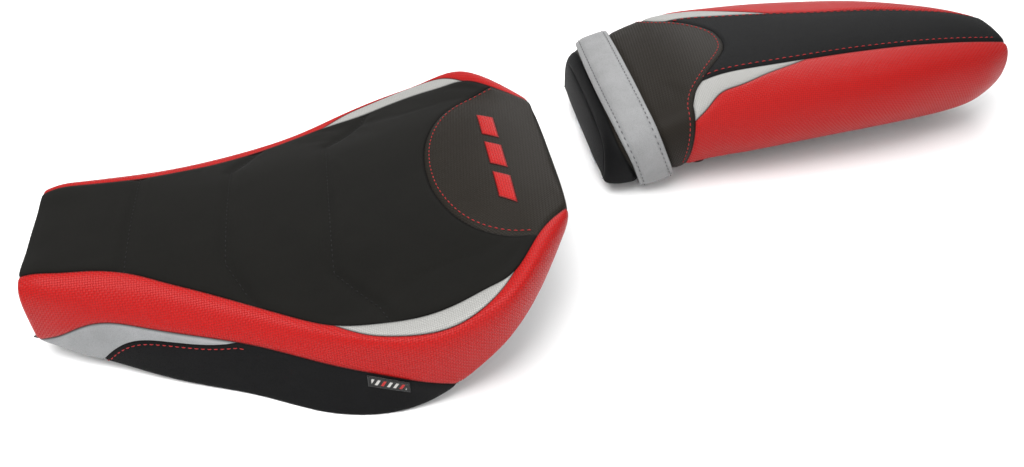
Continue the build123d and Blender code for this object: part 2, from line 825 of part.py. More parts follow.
# ---- pillion seat: cover panels ----
pillion_front_zone = pillion.before(pillion_front_seam)
pillion_behind_wrap = pillion.behind(pillion_wrap_rear_edge)
pillion_strip_zone = pillion.within(pillion_strip_edge, 0)
pillion_below_insert = pillion.under(pillion_insert_lower_edge, 0)
with BuildPart() as pillion_low_zone:
    with Locations((pillion_nose_x, pillion_centre_y, pillion_stand_height + pillion_strip_tail_height)):
        Box(reach * 2, reach, reach, align=(Align.CENTER, Align.CENTER, Align.MAX))

save(common(pillion_skin, pillion_front_zone), "pillion_front_panel")
pillion_rear_cover = common(cut(pillion_skin, pillion_front_zone), pillion_behind_wrap)
save(cut(pillion_skin, pillion_front_zone, pillion_behind_wrap, pillion_staples), "pillion_wrap_panel")
pillion_strip = cut(common(pillion_rear_cover, pillion_strip_zone), pillion_low_zone.part)
save(pillion_strip, "pillion_centre_strip")
pillion_side_cover = cut(common(pillion_rear_cover, pillion.left_half()), pillion_strip, pillion_staples)
save_pair(pillion, common(pillion_side_cover, pillion_below_insert), "pillion_side")
save_pair(pillion, cut(pillion_side_cover, pillion_below_insert), "pillion_insert")
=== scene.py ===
import json
import math

import bmesh
import bpy
import numpy as np
from bpy.props import FloatProperty, FloatVectorProperty, PointerProperty
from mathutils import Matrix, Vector


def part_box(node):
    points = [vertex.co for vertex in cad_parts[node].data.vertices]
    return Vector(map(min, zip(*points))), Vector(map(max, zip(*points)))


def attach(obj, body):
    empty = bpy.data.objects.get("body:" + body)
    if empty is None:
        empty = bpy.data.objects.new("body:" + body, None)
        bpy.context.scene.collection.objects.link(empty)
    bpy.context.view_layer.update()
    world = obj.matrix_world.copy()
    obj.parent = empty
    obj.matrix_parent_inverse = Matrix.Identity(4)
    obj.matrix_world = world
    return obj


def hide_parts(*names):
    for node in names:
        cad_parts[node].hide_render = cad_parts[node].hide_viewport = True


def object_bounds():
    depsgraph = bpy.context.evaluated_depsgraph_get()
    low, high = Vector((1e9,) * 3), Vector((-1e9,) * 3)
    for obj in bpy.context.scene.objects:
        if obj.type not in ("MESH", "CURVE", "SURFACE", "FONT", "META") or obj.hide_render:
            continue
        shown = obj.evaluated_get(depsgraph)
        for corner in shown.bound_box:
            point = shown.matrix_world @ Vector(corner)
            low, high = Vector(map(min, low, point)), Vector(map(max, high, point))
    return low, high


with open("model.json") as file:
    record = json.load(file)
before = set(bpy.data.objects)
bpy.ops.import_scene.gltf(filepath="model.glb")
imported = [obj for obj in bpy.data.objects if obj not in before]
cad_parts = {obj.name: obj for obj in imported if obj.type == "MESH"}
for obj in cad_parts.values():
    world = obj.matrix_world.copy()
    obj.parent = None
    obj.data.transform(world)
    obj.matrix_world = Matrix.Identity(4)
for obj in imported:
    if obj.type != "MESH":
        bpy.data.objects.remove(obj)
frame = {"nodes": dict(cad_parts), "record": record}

bl_info = {
    "name": "Motorcycle Seat Set",
    "version": (1, 0, 0),
    "blender": (4, 5, 0),
    "location": "View3D > Sidebar > Seat",
    "description": "Upholsters a rider seat and a pillion seat over their packed frame",
    "category": "Object",
}

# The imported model's box, before any cover is made, and the sizes that every piece is worked out from.
CAD_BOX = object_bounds()
MM = 0.001
RIDER_SIZE = (0.405, 0.165, 0.105)  # length, half width and height
RIDER_NOSE_OUT = 0.005  # how far the padded nose stands in front of its CAD panel
PILLION_SIZE = (0.417, 0.093, 0.0915)
PILLION_STANDS_AT = 0.012


def spread_of(*nodes):
    """Lowest and highest corner of several CAD nodes together."""
    boxes = [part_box(node) for node in nodes]
    low = np.min([np.array(low) for low, high in boxes], axis=0)
    high = np.max([np.array(high) for low, high in boxes], axis=0)
    return low, high


RIDER_LOW, RIDER_HIGH = spread_of("rider_side_band_left", "rider_side_band_right", "rider_nose_panel")
PILLION_LOW, PILLION_HIGH = spread_of("pillion_side_left", "pillion_side_right", "pillion_front_panel")
FLOOR = CAD_BOX[0].z

# ---------------------------------------------------------------- drawn shape of the two seats
# Every table is drawn in millimetres on a master of the given length, half width and height.
# Cross sections: distance back, crown height, then half width and height at the top seam, the
# shoulder, the belly and the bottom edge. Seams: distance back, then half width or height.
RIDER_MASTER = (405.0, 165.0, 105.0)
RIDER_SECTIONS = [
    (0, 73, 50, 73, 59, 69, 64, 44, 62, 18),
    (12, 76, 52, 76, 61, 72, 68, 46, 67, 16),
    (29, 77, 53.5, 76, 63, 72, 73, 47, 75, 12),
    (53, 77, 54.5, 75, 65, 71, 79, 47, 84, 8),
    (85, 77, 61, 71.5, 71, 68, 87, 45, 99, 4),
    (125, 76, 77, 65, 86, 62.5, 101, 43, 116, 1),
    (165, 76, 96, 60.5, 104, 58.5, 116, 41, 133, 0),
    (205, 77, 117.5, 58.5, 124, 57, 135, 38, 154, 0),
    (245, 80, 131.5, 61, 145, 60, 151, 42, 165, 0),
    (285, 89, 139, 69, 158, 66, 163, 40, 163, 4),
    (325, 98, 137, 82, 157, 79.5, 160, 55, 155, 26),
    (354, 104, 128.5, 93, 146, 92.5, 150, 72, 146, 52),
    (375, 106, 103.5, 100.5, 122, 97, 128, 80, 126, 70),
    (405, 103, 74, 100, 78, 97, 79, 91, 76, 86),
]
RIDER_TOP_SEAM = [  # half widths
    (0, 50), (29, 53.5), (53, 54.5), (65, 56), (85, 61), (105, 69), (125, 77), (145, 86),
    (165, 96), (185, 106.7), (205, 117.5), (225, 126.5), (255, 133.5), (285, 139), (315, 138.2),
    (335, 134.5), (355, 128), (375, 103.5), (405, 74),
]
RIDER_BAND_LOWER = [  # heights
    (-20, 10), (0, 18), (19, 27), (37, 38), (55, 44), (85, 42), (125, 40), (165, 38), (205, 35),
    (245, 32), (272, 28), (307, 14), (335, -8),
]
RIDER_SKIRT_UPPER = [  # heights
    (25, -30), (45, 4), (69, 28), (97, 34), (149, 38), (161, 41), (205, 50), (345, 60),
]
RIDER_INSERT_LOWER = [  # half widths
    (205, 112), (224, 126), (245, 141), (265, 149.5), (285, 155), (305, 157), (325, 153),
    (345, 139.5), (357, 124), (377, 90),
]
RIDER_HUMP_FRONT = [  # half width first, then distance back
    (0, 305), (25, 307), (50, 314), (72, 326), (90, 346), (103, 375), (112, 405),
]

PILLION_MASTER = (413.0, 92.0, 90.5)
PILLION_SECTIONS = [
    (0, 46, 60, 43, 77, 36, 84, 20, 83, 0),
    (7, 53, 64, 50, 82, 41, 89, 22, 86, 0),
    (28, 62, 65, 58, 86, 49, 91, 27, 86, 0),
    (59, 73, 62, 69, 88, 60, 92, 33, 83, 6),
    (94, 87, 56, 83, 86, 71, 92, 38, 79, 11),
    (133, 90, 51, 87, 83, 76, 92, 40, 77, 13),
    (183, 91, 50, 87, 81, 78, 89, 42, 73, 15),
    (241, 91, 46, 86, 77, 78, 84, 43, 68, 17),
    (296, 89, 38, 86, 68, 78, 76, 45, 62, 18),
    (342, 86, 32, 83, 57, 76, 65, 45, 54, 18),
    (384, 81, 28, 78, 44, 72, 52, 44, 43, 22),
    (413, 74, 21, 72, 29, 68, 34, 47, 28, 30),
]
PILLION_STRIP_EDGE = [  # half widths
    (0, 64), (28, 65), (59, 62), (94, 56), (128, 51), (160, 48), (191, 45), (238, 40),
    (284, 37), (312, 35), (352, 32), (384, 29), (413, 23),
]
PILLION_FRONT_SEAM = [  # height first, then distance back
    (-6, 36), (0, 33), (17, 24), (34, 14), (46, 8), (58, 6), (100, 5),
]
PILLION_WRAP_REAR = [  # half width first, then distance back
    (0, 128), (16, 125), (32, 114), (46, 101), (58, 90), (68, 82), (80, 77),
]
PILLION_INSERT_LOWER = [  # half widths
    (60, 95), (77, 90), (90, 84), (101, 76), (120, 70.5), (151, 59.8), (191, 45.5), (215, 34),
]

HEM = 0.034  # how far the table of each form goes on under the bottom edge
HEM_SHOWN = 0.012  # how much of that the covers use
FULL_LAP = 1 + HEM_SHOWN / HEM  # the lap where the covers end
HEM_WIDENS = 0.010  # the run over which a cover's hem comes to its full width
LAPS = 240  # steps from crown to bottom edge
HEM_STEPS = 24
CORNER_ROUND = 0.003  # radius of the bottom corner


def curve_through(knots, values, at):
    """Natural cubic spline, the curve of least bending through values at knots, read at at.

    knots is (..., n), values (..., n, k) and at (..., m); the answer is (..., m, k).
    """
    gap = np.diff(knots, axis=-1)
    slope = np.diff(values, axis=-2) / gap[..., None]
    count = knots.shape[-1]
    inner = np.arange(1, count - 1)
    system = np.zeros(knots.shape + (count,))
    system[..., 0, 0] = 1.0
    system[..., -1, -1] = 1.0
    system[..., inner, inner - 1] = gap[..., :-1]
    system[..., inner, inner] = 2 * (gap[..., :-1] + gap[..., 1:])
    system[..., inner, inner + 1] = gap[..., 1:]
    load = np.zeros(values.shape)
    load[..., 1:-1, :] = 6 * np.diff(slope, axis=-2)
    bend = np.linalg.solve(system, load)
    piece = (at[..., :, None] >= knots[..., None, 1:-1]).sum(-1)

    def pick(table, where):
        return np.take_along_axis(table, where[..., None], axis=-2)

    span = np.take_along_axis(gap, piece, axis=-1)[..., None]
    share = ((at - np.take_along_axis(knots, piece, axis=-1))[..., None]) / span
    rest = 1 - share
    straight = rest * pick(values, piece) + share * pick(values, piece + 1)
    arch = (rest**3 - rest) * pick(bend, piece) + (share**3 - share) * pick(bend, piece + 1)
    return straight + arch * span**2 / 6


def edge_curve(pairs, at):
    """A drawn edge given as (where, how much) pairs, read along at by the same spline."""
    drawn = np.array(pairs, float)
    at = np.clip(at, drawn[0, 0], drawn[-1, 0])
    return curve_through(drawn[:, 0], drawn[:, 1:], at.ravel())[:, 0].reshape(at.shape)


class SeatForm:
    """The outer form of one seat as a surface P(s, t).

    s is the distance back from the nose in metres. t is the lap: 0 on the crown, 1 on the left
    bottom edge, 2 at the end of the hem under it, and the same with a minus sign on the right.
    Each column of the section table is carried along the seat by a cubic spline, each section
    is a cubic spline by length through its points, and both ends are rounded off by moving the
    section inwards by radius - sqrt(radius^2 - (radius - s)^2).
    """

    def __init__(self, nose_x, centre_y, base_z, size, master, sections, ends):
        self.nose_x, self.centre_y, self.base_z = nose_x, centre_y, base_z
        self.length = size[0]
        self.scale = np.array(size) / (np.array(master) * MM)
        nose_round, tail_round = ends
        turn = np.linspace(0, np.pi / 2, 9)
        inner = np.linspace(nose_round, self.length - tail_round, 260)[1:-1]
        self.backs = np.concatenate([
            nose_round * (1 - np.cos(turn)),
            inner,
            self.length - tail_round * (1 - np.cos(turn[::-1])),
        ])
        table = np.array(sections, float)
        rows = curve_through(table[:, 0], table[:, 1:], self.backs / MM / self.scale[0])
        crown, seam_y, seam_z = rows[:, 0], rows[:, 1], rows[:, 2]
        drawn = [
            np.stack([0 * crown, crown], -1),
            np.stack([seam_y * 0.55, crown - (crown - seam_z) * 0.28], -1),
        ]
        drawn += [rows[:, i:i + 2] for i in (1, 3, 5, 7)]
        half = np.stack(drawn, 1) * self.scale[1:] * MM
        mirrored = half[:, :0:-1] * [-1, 1]
        around = np.concatenate([mirrored, half], 1)
        steps = np.linalg.norm(np.diff(around, axis=1), axis=-1)
        along = np.concatenate([0 * steps[:, :1], np.cumsum(steps, 1)], 1)
        share = np.linspace(0, 1, LAPS + 1)
        middle = along.shape[1] // 2
        at = along[:, middle, None] + share * (along[:, -1] - along[:, middle])[:, None]
        self.raw = curve_through(along, around, at)
        self.table = self.rounded(self.raw, nose_round, tail_round)
        lap = np.linalg.norm(np.diff(self.table, axis=1), axis=-1)
        self.lap = np.concatenate([0 * lap[:, :1], np.cumsum(lap, 1)], 1)

    def rounded(self, outline, nose_round, tail_round):
        """The outlines with a rounded bottom corner, a hem under it and both ends drawn in."""
        radius = CORNER_ROUND
        steps = np.linalg.norm(np.diff(outline, axis=1), axis=-1)
        along = np.concatenate([0 * steps[:, :1], np.cumsum(steps, 1)], 1)
        corner = outline[:, -1:]
        away = along[:, -1:] - along
        start = np.take_along_axis(outline, (away > radius).sum(1)[:, None, None] - 1, 1)
        inward = np.array([-1.0, 0.0])

        def bent(u):
            """Quadratic Bezier curve over the corner, from radius above it to radius inside."""
            finish = corner + inward * radius
            return (1 - u) ** 2 * start + 2 * u * (1 - u) * corner + u**2 * finish

        near = np.clip(1 - away / radius, 0, 1)[..., None]
        outline = np.where(near > 0, bent(near / 2), outline)
        under = np.linspace(0, HEM, HEM_STEPS + 1)[None, 1:, None]
        hem = np.where(under < radius, bent(0.5 + under / radius / 2), corner + inward * under)
        whole = np.concatenate([outline, hem], 1)
        run = np.gradient(whole, axis=1)
        run /= np.linalg.norm(run, axis=-1, keepdims=True)
        inside = np.stack([run[..., 1], -run[..., 0]], -1)
        nose = np.clip(1 - self.backs / nose_round, 0, 1)
        tail = np.clip(1 - (self.length - self.backs) / tail_round, 0, 1)
        drawn_in = nose_round * (1 - np.sqrt(1 - nose**2)) + tail_round * (1 - np.sqrt(1 - tail**2))
        whole = whole + inside * drawn_in[:, None, None]
        whole[:, 0, 0] = 0
        return whole

    def read(self, table, s, t):
        """A table of this form read between its rows and columns, in proportion."""
        row = np.interp(s, self.backs, np.arange(len(self.backs)))
        lap = np.abs(t)
        column = np.where(lap <= 1, lap * LAPS, LAPS + (lap - 1) * HEM_STEPS)
        column = np.clip(column, 0, table.shape[1] - 1.001)
        row = np.clip(row, 0, len(self.backs) - 1.001)
        i, j = row.astype(int), column.astype(int)
        a, b = (row - i), (column - j)
        if table.ndim == 3:
            a, b = a[..., None], b[..., None]
        return (
            (1 - a) * (1 - b) * table[i, j] + a * (1 - b) * table[i + 1, j]
            + (1 - a) * b * table[i, j + 1] + a * b * table[i + 1, j + 1]
        )

    def at(self, s, t):
        """P(s, t) in the row frame, in metres."""
        s, t = np.broadcast_arrays(np.asarray(s, float), np.asarray(t, float))
        outline = self.read(self.table, s, t)
        side = np.where(t < 0, -1.0, 1.0)
        return np.stack([
            self.nose_x - s, self.centre_y + side * outline[..., 0], self.base_z + outline[..., 1],
        ], -1)

    def slopes(self, s, t):
        """dP/ds and dP/dt, as differences over a millimetre and over a small part of a lap."""
        ds, dt = 0.0006, 0.006
        s, t = np.broadcast_arrays(np.asarray(s, float), np.asarray(t, float))
        ahead, back = np.clip(s + ds, 0, self.length), np.clip(s - ds, 0, self.length)
        over, before = np.clip(t + dt, -2, 2), np.clip(t - dt, -2, 2)
        along = (self.at(ahead, t) - self.at(back, t)) / (ahead - back)[..., None]
        across = (self.at(s, over) - self.at(s, before)) / (over - before)[..., None]
        return along, across

    def normal(self, s, t):
        """Outward normal, dP/dt x dP/ds made one long."""
        along, across = self.slopes(s, t)
        out = np.cross(across, along)
        return out / np.maximum(np.linalg.norm(out, axis=-1, keepdims=True), 1e-12)

    def lap_at_width(self, s, half_width):
        """The lap at which the drawn outline first reaches a half width given in master mm."""
        wanted = half_width * self.scale[1] * MM
        return self.first_lap(s, lambda outline: outline[..., 0] - wanted[..., None])

    def lap_at_height(self, s, height):
        """The lap at which the drawn outline first comes down to a height in master mm."""
        wanted = height * self.scale[2] * MM
        return self.first_lap(s, lambda outline: wanted[..., None] - outline[..., 1])

    def first_lap(self, s, passed):
        """Where passed(outline) first turns from below 0 to above, as a lap from 0 to 1."""
        laps = np.linspace(0, 1, LAPS + 1)
        s = np.asarray(s, float)
        outline = self.read(self.raw, s[..., None] + 0 * laps, 0 * s[..., None] + laps * 0.99999)
        value = passed(outline)
        over = value >= 0
        first = np.where(over.any(-1), over.argmax(-1), LAPS)
        before = np.maximum(first - 1, 0)
        v0 = np.take_along_axis(value, before[..., None], -1)[..., 0]
        v1 = np.take_along_axis(value, first[..., None], -1)[..., 0]
        share = np.clip(-v0 / np.where(np.abs(v1 - v0) < 1e-12, 1, v1 - v0), 0, 1)
        return np.where(over.any(-1), (before + share * (first - before)) / LAPS, 1.0)

    def backs_mm(self, s):
        """Distance back in master millimetres."""
        return np.asarray(s) / MM / self.scale[0]

    def inside_edge(self, t_of_s, beyond, count=1200):
        """For each line t = t_of_s(s), the s where beyond(s, half width, height) first holds."""
        s = np.linspace(0, self.length, count)
        t = t_of_s(s[None, :])
        outline = self.read(self.raw, s[None, :] + 0 * t, np.clip(np.abs(t), 0, 0.99999))
        width = outline[..., 0] / MM / self.scale[1]
        height = outline[..., 1] / MM / self.scale[2]
        value = beyond(self.backs_mm(s)[None, :], width, height)
        over = value >= 0
        first = np.where(over.any(1), over.argmax(1), count - 1)
        before = np.maximum(first - 1, 0)
        rows = np.arange(len(first))
        v0, v1 = value[rows, before], value[rows, first]
        share = np.clip(-v0 / np.where(np.abs(v1 - v0) < 1e-12, 1, v1 - v0), 0, 1)
        return s[before] + share * (s[first] - s[before])


RIDER = SeatForm(
    RIDER_HIGH[0] + RIDER_NOSE_OUT, (RIDER_LOW[1] + RIDER_HIGH[1]) / 2, FLOOR, RIDER_SIZE,
    RIDER_MASTER, RIDER_SECTIONS, (0.0035, 0.005),
)
PILLION = SeatForm(
    PILLION_HIGH[0], (PILLION_LOW[1] + PILLION_HIGH[1]) / 2, FLOOR + PILLION_STANDS_AT,
    PILLION_SIZE, PILLION_MASTER, PILLION_SECTIONS, (0.004, 0.008),
)
DEEPEST = 0.0020  # how far a cover may dip: the pillion foam lies 2.5 mm under the drawn form
FOAM_UNDER = 0.0032  # how far the rider foam lies under it
FOAM_LAPS = 0.80  # how far down the sides the rider foam goes, as a lap
FOLD = 0.0024  # how far a seam's pull reaches
CLOTH_CELL = 0.005
CLOTH_PRESSURE = 4.0
CLOTH_STIFFNESS = 40.0
CLOTH_FRAMES = 20
WALL = 0.0012  # thickness of a cover
PANELS = {}  # the grids of every sewn cover, by the name of its object


# ---------------------------------------------------------------- seams as laps and distances
def spaced(length, step, fine=0.0006, reach=0.007):
    """Shares from 0 to 1, close together within reach of both ends and about step apart between."""
    near = [0.0]
    gap = fine
    while near[-1] < reach and near[-1] < length / 3:
        near.append(near[-1] + gap)
        gap = min(gap * 1.35, step)
    near = np.array(near)
    left = max(length - 2 * near[-1], step)
    middle = np.linspace(near[-1], near[-1] + left, max(2, int(round(left / step)) + 1))
    whole = np.concatenate([near[:-1], middle, near[-1] + left + near[-1] - near[-2::-1]])
    return (whole - whole[0]) / (whole[-1] - whole[0])


def rider_top_lap(s):
    return RIDER.lap_at_width(s, edge_curve(RIDER_TOP_SEAM, RIDER.backs_mm(s)))


def rider_band_lap(s):
    return RIDER.lap_at_height(s, edge_curve(RIDER_BAND_LOWER, RIDER.backs_mm(s)))


def rider_insert_lap(s):
    s = np.asarray(s, float)
    lap = RIDER.lap_at_width(s, edge_curve(RIDER_INSERT_LOWER, RIDER.backs_mm(s)))
    mm = RIDER.backs_mm(s)
    return np.where((mm < 210) | (mm > 370), 0.0, lap)


def rider_skirt_lap(s):
    return RIDER.lap_at_height(s, edge_curve(RIDER_SKIRT_UPPER, RIDER.backs_mm(s)))


def pillion_strip_lap(s):
    return PILLION.lap_at_width(s, edge_curve(PILLION_STRIP_EDGE, PILLION.backs_mm(s)))


def pillion_wrap_lap(s):
    """The lap where the wrap panel's rear seam crosses this distance back, or 0 behind it."""
    mm = PILLION.backs_mm(s)
    width = edge_curve([(back, half) for half, back in PILLION_WRAP_REAR[::-1]], mm)
    return np.where(mm > 128, 0.0, PILLION.lap_at_width(s, np.maximum(width, 0)))


def pillion_insert_lap(s):
    s = np.asarray(s, float)
    lap = PILLION.lap_at_width(s, edge_curve(PILLION_INSERT_LOWER, PILLION.backs_mm(s)))
    return np.where(PILLION.backs_mm(s) > 215, 0.0, lap)


def crossing(low, high, gap, rising=True):
    """The s between low and high where gap(s) first turns positive (or last is, if not rising)."""
    s = np.linspace(low, high, 1500)
    over = np.flatnonzero(gap(s) > 0)
    if not len(over):
        raise ValueError("two seams don't cross between %.3f and %.3f" % (low, high))
    return s[over[0] if rising else over[-1]]


def onto_hem(lap, past):
    """A lap limit that goes on over the hem, the full way HEM_WIDENS past its start."""
    share = np.clip(past / HEM_WIDENS, 0, 1)
    return np.where(past > 0, 1 + share * (FULL_LAP - 1), lap)


def whole_lap(s):
    return np.full(s.shape, FULL_LAP)


# ---------------------------------------------------------------- panels
class Panel:
    """A sewn panel: a grid of (s, t) on a seat form, and how far it stands off that form."""

    def __init__(self, form, s, t, seams="start end low high"):
        self.form, self.s, self.t = form, s, t
        self.points = form.at(s, t)
        self.out = form.normal(s, t)
        self.uv = np.stack([s, form.read(form.lap, s, t) * np.sign(t + 1e-12)], -1)
        self.seams = seams
        self.find_edges()

    def find_edges(self):
        """Distance of each point from the nearest sewn edge, in metres."""
        edges = {
            "start": self.points[0], "end": self.points[-1],
            "low": self.points[:, 0], "high": self.points[:, -1],
        }
        self.lift = np.zeros(self.s.shape)
        self.edge = np.full(self.s.shape, FAR_FROM_SEAMS)
        if self.seams:
            sewn = np.concatenate([edges[name] for name in self.seams.split()])
            self.edge = nearest(self.points.reshape(-1, 3), sewn)[0].reshape(self.s.shape)


def nearest(points, others):
    """Distance to the nearest of others, and which it is, worked out in blocks."""
    far, which = [], []
    for block in np.array_split(points, max(1, len(points) * len(others) // 4_000_000)):
        square = (
            (block**2).sum(1)[:, None] - 2 * block @ others.T + (others**2).sum(1)[None]
        )
        index = square.argmin(1)
        far.append(np.sqrt(np.maximum(square[np.arange(len(block)), index], 0)))
        which.append(index)
    return np.concatenate(far), np.concatenate(which)


def lined_panel(form, start, end, low, high, step=0.0018, seams="start end low high", cross=None):
    """Rows at s from start to end; each runs from the lap low(s) to the lap high(s)."""
    s = start + (end - start) * spaced(end - start, step)
    t0, t1 = low(s), high(s)
    width = cross or np.abs(form.at(s, t0) - form.at(s, t1)).sum(-1).max()
    share = spaced(width, step)
    t = t0[:, None] + (t1 - t0)[:, None] * share[None]
    return Panel(form, s[:, None] + 0 * t, t, seams)


def mirrored(panel):
    """The same panel on the right."""
    return Panel(panel.form, panel.s, -panel.t, panel.seams)


CAP_GRID = (26, 61)  # rows and columns of an end cap
FAR_FROM_SEAMS = 0.03


class EndCap:
    """The panel that closes a seat's end: level rows from side to side, bulging a little.

    A row at height z reaches as far as the end section's outline does there, and rows go on
    straight down for the distance below the bottom edge.
    """

    def __init__(self, form, at_nose, bulge, below=0.0, seams="start end low high"):
        row = 0 if at_nose else len(form.backs) - 1
        outline = form.table[row, :LAPS + 1]
        bottom, top = outline[-1, 1], outline[0, 1]
        z = np.linspace(bottom - below, top, CAP_GRID[0])
        reach = np.interp(z, outline[::-1, 1], outline[::-1, 0])
        a = np.linspace(-1, 1, CAP_GRID[1])
        rise = np.clip((z - bottom) / (top - bottom), 0, 1)
        out = bulge * (1 - a[None] ** 4) * (4 * rise * (1 - rise))[:, None] ** 0.5
        facing = 1.0 if at_nose else -1.0
        x = form.nose_x - (0.0 if at_nose else form.length) + facing * out
        y = form.centre_y + a[None] * reach[:, None]
        self.points = np.stack([x, y, form.base_z + z[:, None] + 0 * y], -1)
        self.out = np.zeros_like(self.points)
        self.out[..., 0] = facing
        self.uv = np.stack([z[:, None] + 0 * y, y - form.centre_y], -1)
        self.s = np.full(y.shape, 0.0 if at_nose else form.length)
        self.form, self.seams = form, seams
        Panel.find_edges(self)


def hump_line(a):
    """Where the line t = a x top lap crosses the raised rear's front seam."""
    def beyond(mm, half_width, height):
        return mm - edge_curve(RIDER_HUMP_FRONT, half_width)
    return RIDER.inside_edge(lambda s: np.abs(a)[:, None] * rider_top_lap(s[0])[None, :], beyond)


def pillion_line(t, pairs, plan):
    """Where the line of constant lap t crosses a seam drawn in plan or in side view."""
    def beyond(mm, half_width, height):
        return mm - edge_curve(pairs, half_width if plan else height)
    return PILLION.inside_edge(lambda s: t[:, None] + 0 * s, beyond)


def rider_top_panels():
    """The black centre panel in front of the raised rear, and the ribbed panel on it."""
    a = 2 * spaced(0.27, 0.0022) - 1
    cut = hump_line(a)
    ahead = spaced(0.33, 0.0019)
    s = ahead[:, None] * cut[None]
    centre = Panel(RIDER, s, a[None] * rider_top_lap(s))
    behind = spaced(0.10, 0.0016)
    s = cut[None] + behind[:, None] * (RIDER.length - cut)[None]
    hump = Panel(RIDER, s, a[None] * rider_top_lap(s))
    return centre, hump


def rider_side_panels():
    """Band, upper insert, nose insert and lower side on the left of the rider seat."""
    end = RIDER.length
    def insert_gap(s):
        return rider_insert_lap(s) - rider_top_lap(s) - 1e-4

    insert_start = crossing(0.205, 0.30, insert_gap)
    insert_end = crossing(0.25, 0.38, insert_gap, False)
    band_down = crossing(0.25, 0.33, lambda s: rider_band_lap(s) - 0.9999)
    skirt_start = crossing(0.02, 0.10, lambda s: 0.9999 - rider_skirt_lap(s))
    skirt_end = crossing(
        0.06, 0.25, lambda s: rider_skirt_lap(s) - rider_band_lap(s) - 1e-4, False
    )

    def under_top(s):
        return np.maximum(rider_top_lap(s), rider_insert_lap(s))

    def band_low(s):
        return onto_hem(rider_band_lap(s), s - band_down)

    def nose_low(s):
        return onto_hem(rider_skirt_lap(s), skirt_start - s)

    def side_top(s):
        return np.maximum(rider_band_lap(s), rider_skirt_lap(s))

    return {
        "rider_side_band": lined_panel(RIDER, 0, end, under_top, band_low, seams="start low high"),
        "rider_upper_insert": lined_panel(
            RIDER, insert_start, insert_end, rider_top_lap, rider_insert_lap, 0.0014
        ),
        "rider_nose_insert": lined_panel(
            RIDER, 0, skirt_end, rider_band_lap, nose_low, 0.0014, "start low", 0.03
        ),
        "rider_lower_side": lined_panel(
            RIDER, skirt_start, band_down, side_top, whole_lap, seams="low", cross=0.06
        ),
    }


def pillion_panels():
    """Front, wrap and centre strip across the pillion seat, and the left side's two panels."""
    t = FULL_LAP * (2 * spaced(0.36, 0.0022) - 1)
    front_edge = pillion_line(np.clip(t, -1, 1), PILLION_FRONT_SEAM, False)
    wrap_edge = pillion_line(np.clip(t, -1, 1), PILLION_WRAP_REAR, True)
    run = spaced(0.030, 0.0016)
    front = Panel(PILLION, run[:, None] * front_edge[None], t[None] + 0 * run[:, None], "end")
    run = spaced(0.09, 0.0018)
    s = front_edge[None] + run[:, None] * (wrap_edge - front_edge)[None]
    wrap = Panel(PILLION, s, t[None] + 0 * s, "start end")

    a = 2 * spaced(0.10, 0.0020) - 1
    meet = PILLION.inside_edge(
        lambda s: np.abs(a)[:, None] * pillion_strip_lap(s[0])[None, :],
        lambda mm, half_width, height: mm - edge_curve(PILLION_WRAP_REAR, half_width),
    )
    run = spaced(0.30, 0.0020)
    s = meet[None] + run[:, None] * (PILLION.length - meet)[None]
    strip = Panel(PILLION, s, a[None] * pillion_strip_lap(s))

    def upper(s):
        return np.maximum(pillion_strip_lap(s), pillion_wrap_lap(s))

    front_of_sides = PILLION_WRAP_REAR[-1][1] * MM * PILLION.scale[0]
    insert_end = crossing(0.12, 0.21, lambda s: pillion_insert_lap(s) - upper(s) - 1e-4, False)

    def side_top(s):
        return np.maximum(pillion_strip_lap(s), pillion_insert_lap(s))

    insert = lined_panel(PILLION, front_of_sides, insert_end, upper, pillion_insert_lap, 0.0014)
    side = lined_panel(
        PILLION, front_of_sides, PILLION.length, side_top, whole_lap, seams="start low",
    )
    return front, wrap, strip, insert, side


# ---------------------------------------------------------------- relief of a panel
def stretched(values, at, count):
    """Rows of values that stand at the indices at, carried over to 0 .. count - 1 by a spline."""
    return curve_through(at.astype(float), values, np.arange(count, dtype=float))


def sparse(points, axis):
    """Indices along an axis of a grid, first and last with them, about CLOTH_CELL apart."""
    steps = np.linalg.norm(np.diff(points, axis=axis), axis=-1).max(1 - axis)
    along = np.concatenate([[0], np.cumsum(steps)])
    wanted = np.linspace(0, along[-1], max(3, int(along[-1] / CLOTH_CELL)) + 1)
    return np.unique(np.abs(along[:, None] - wanted[None]).argmin(0))


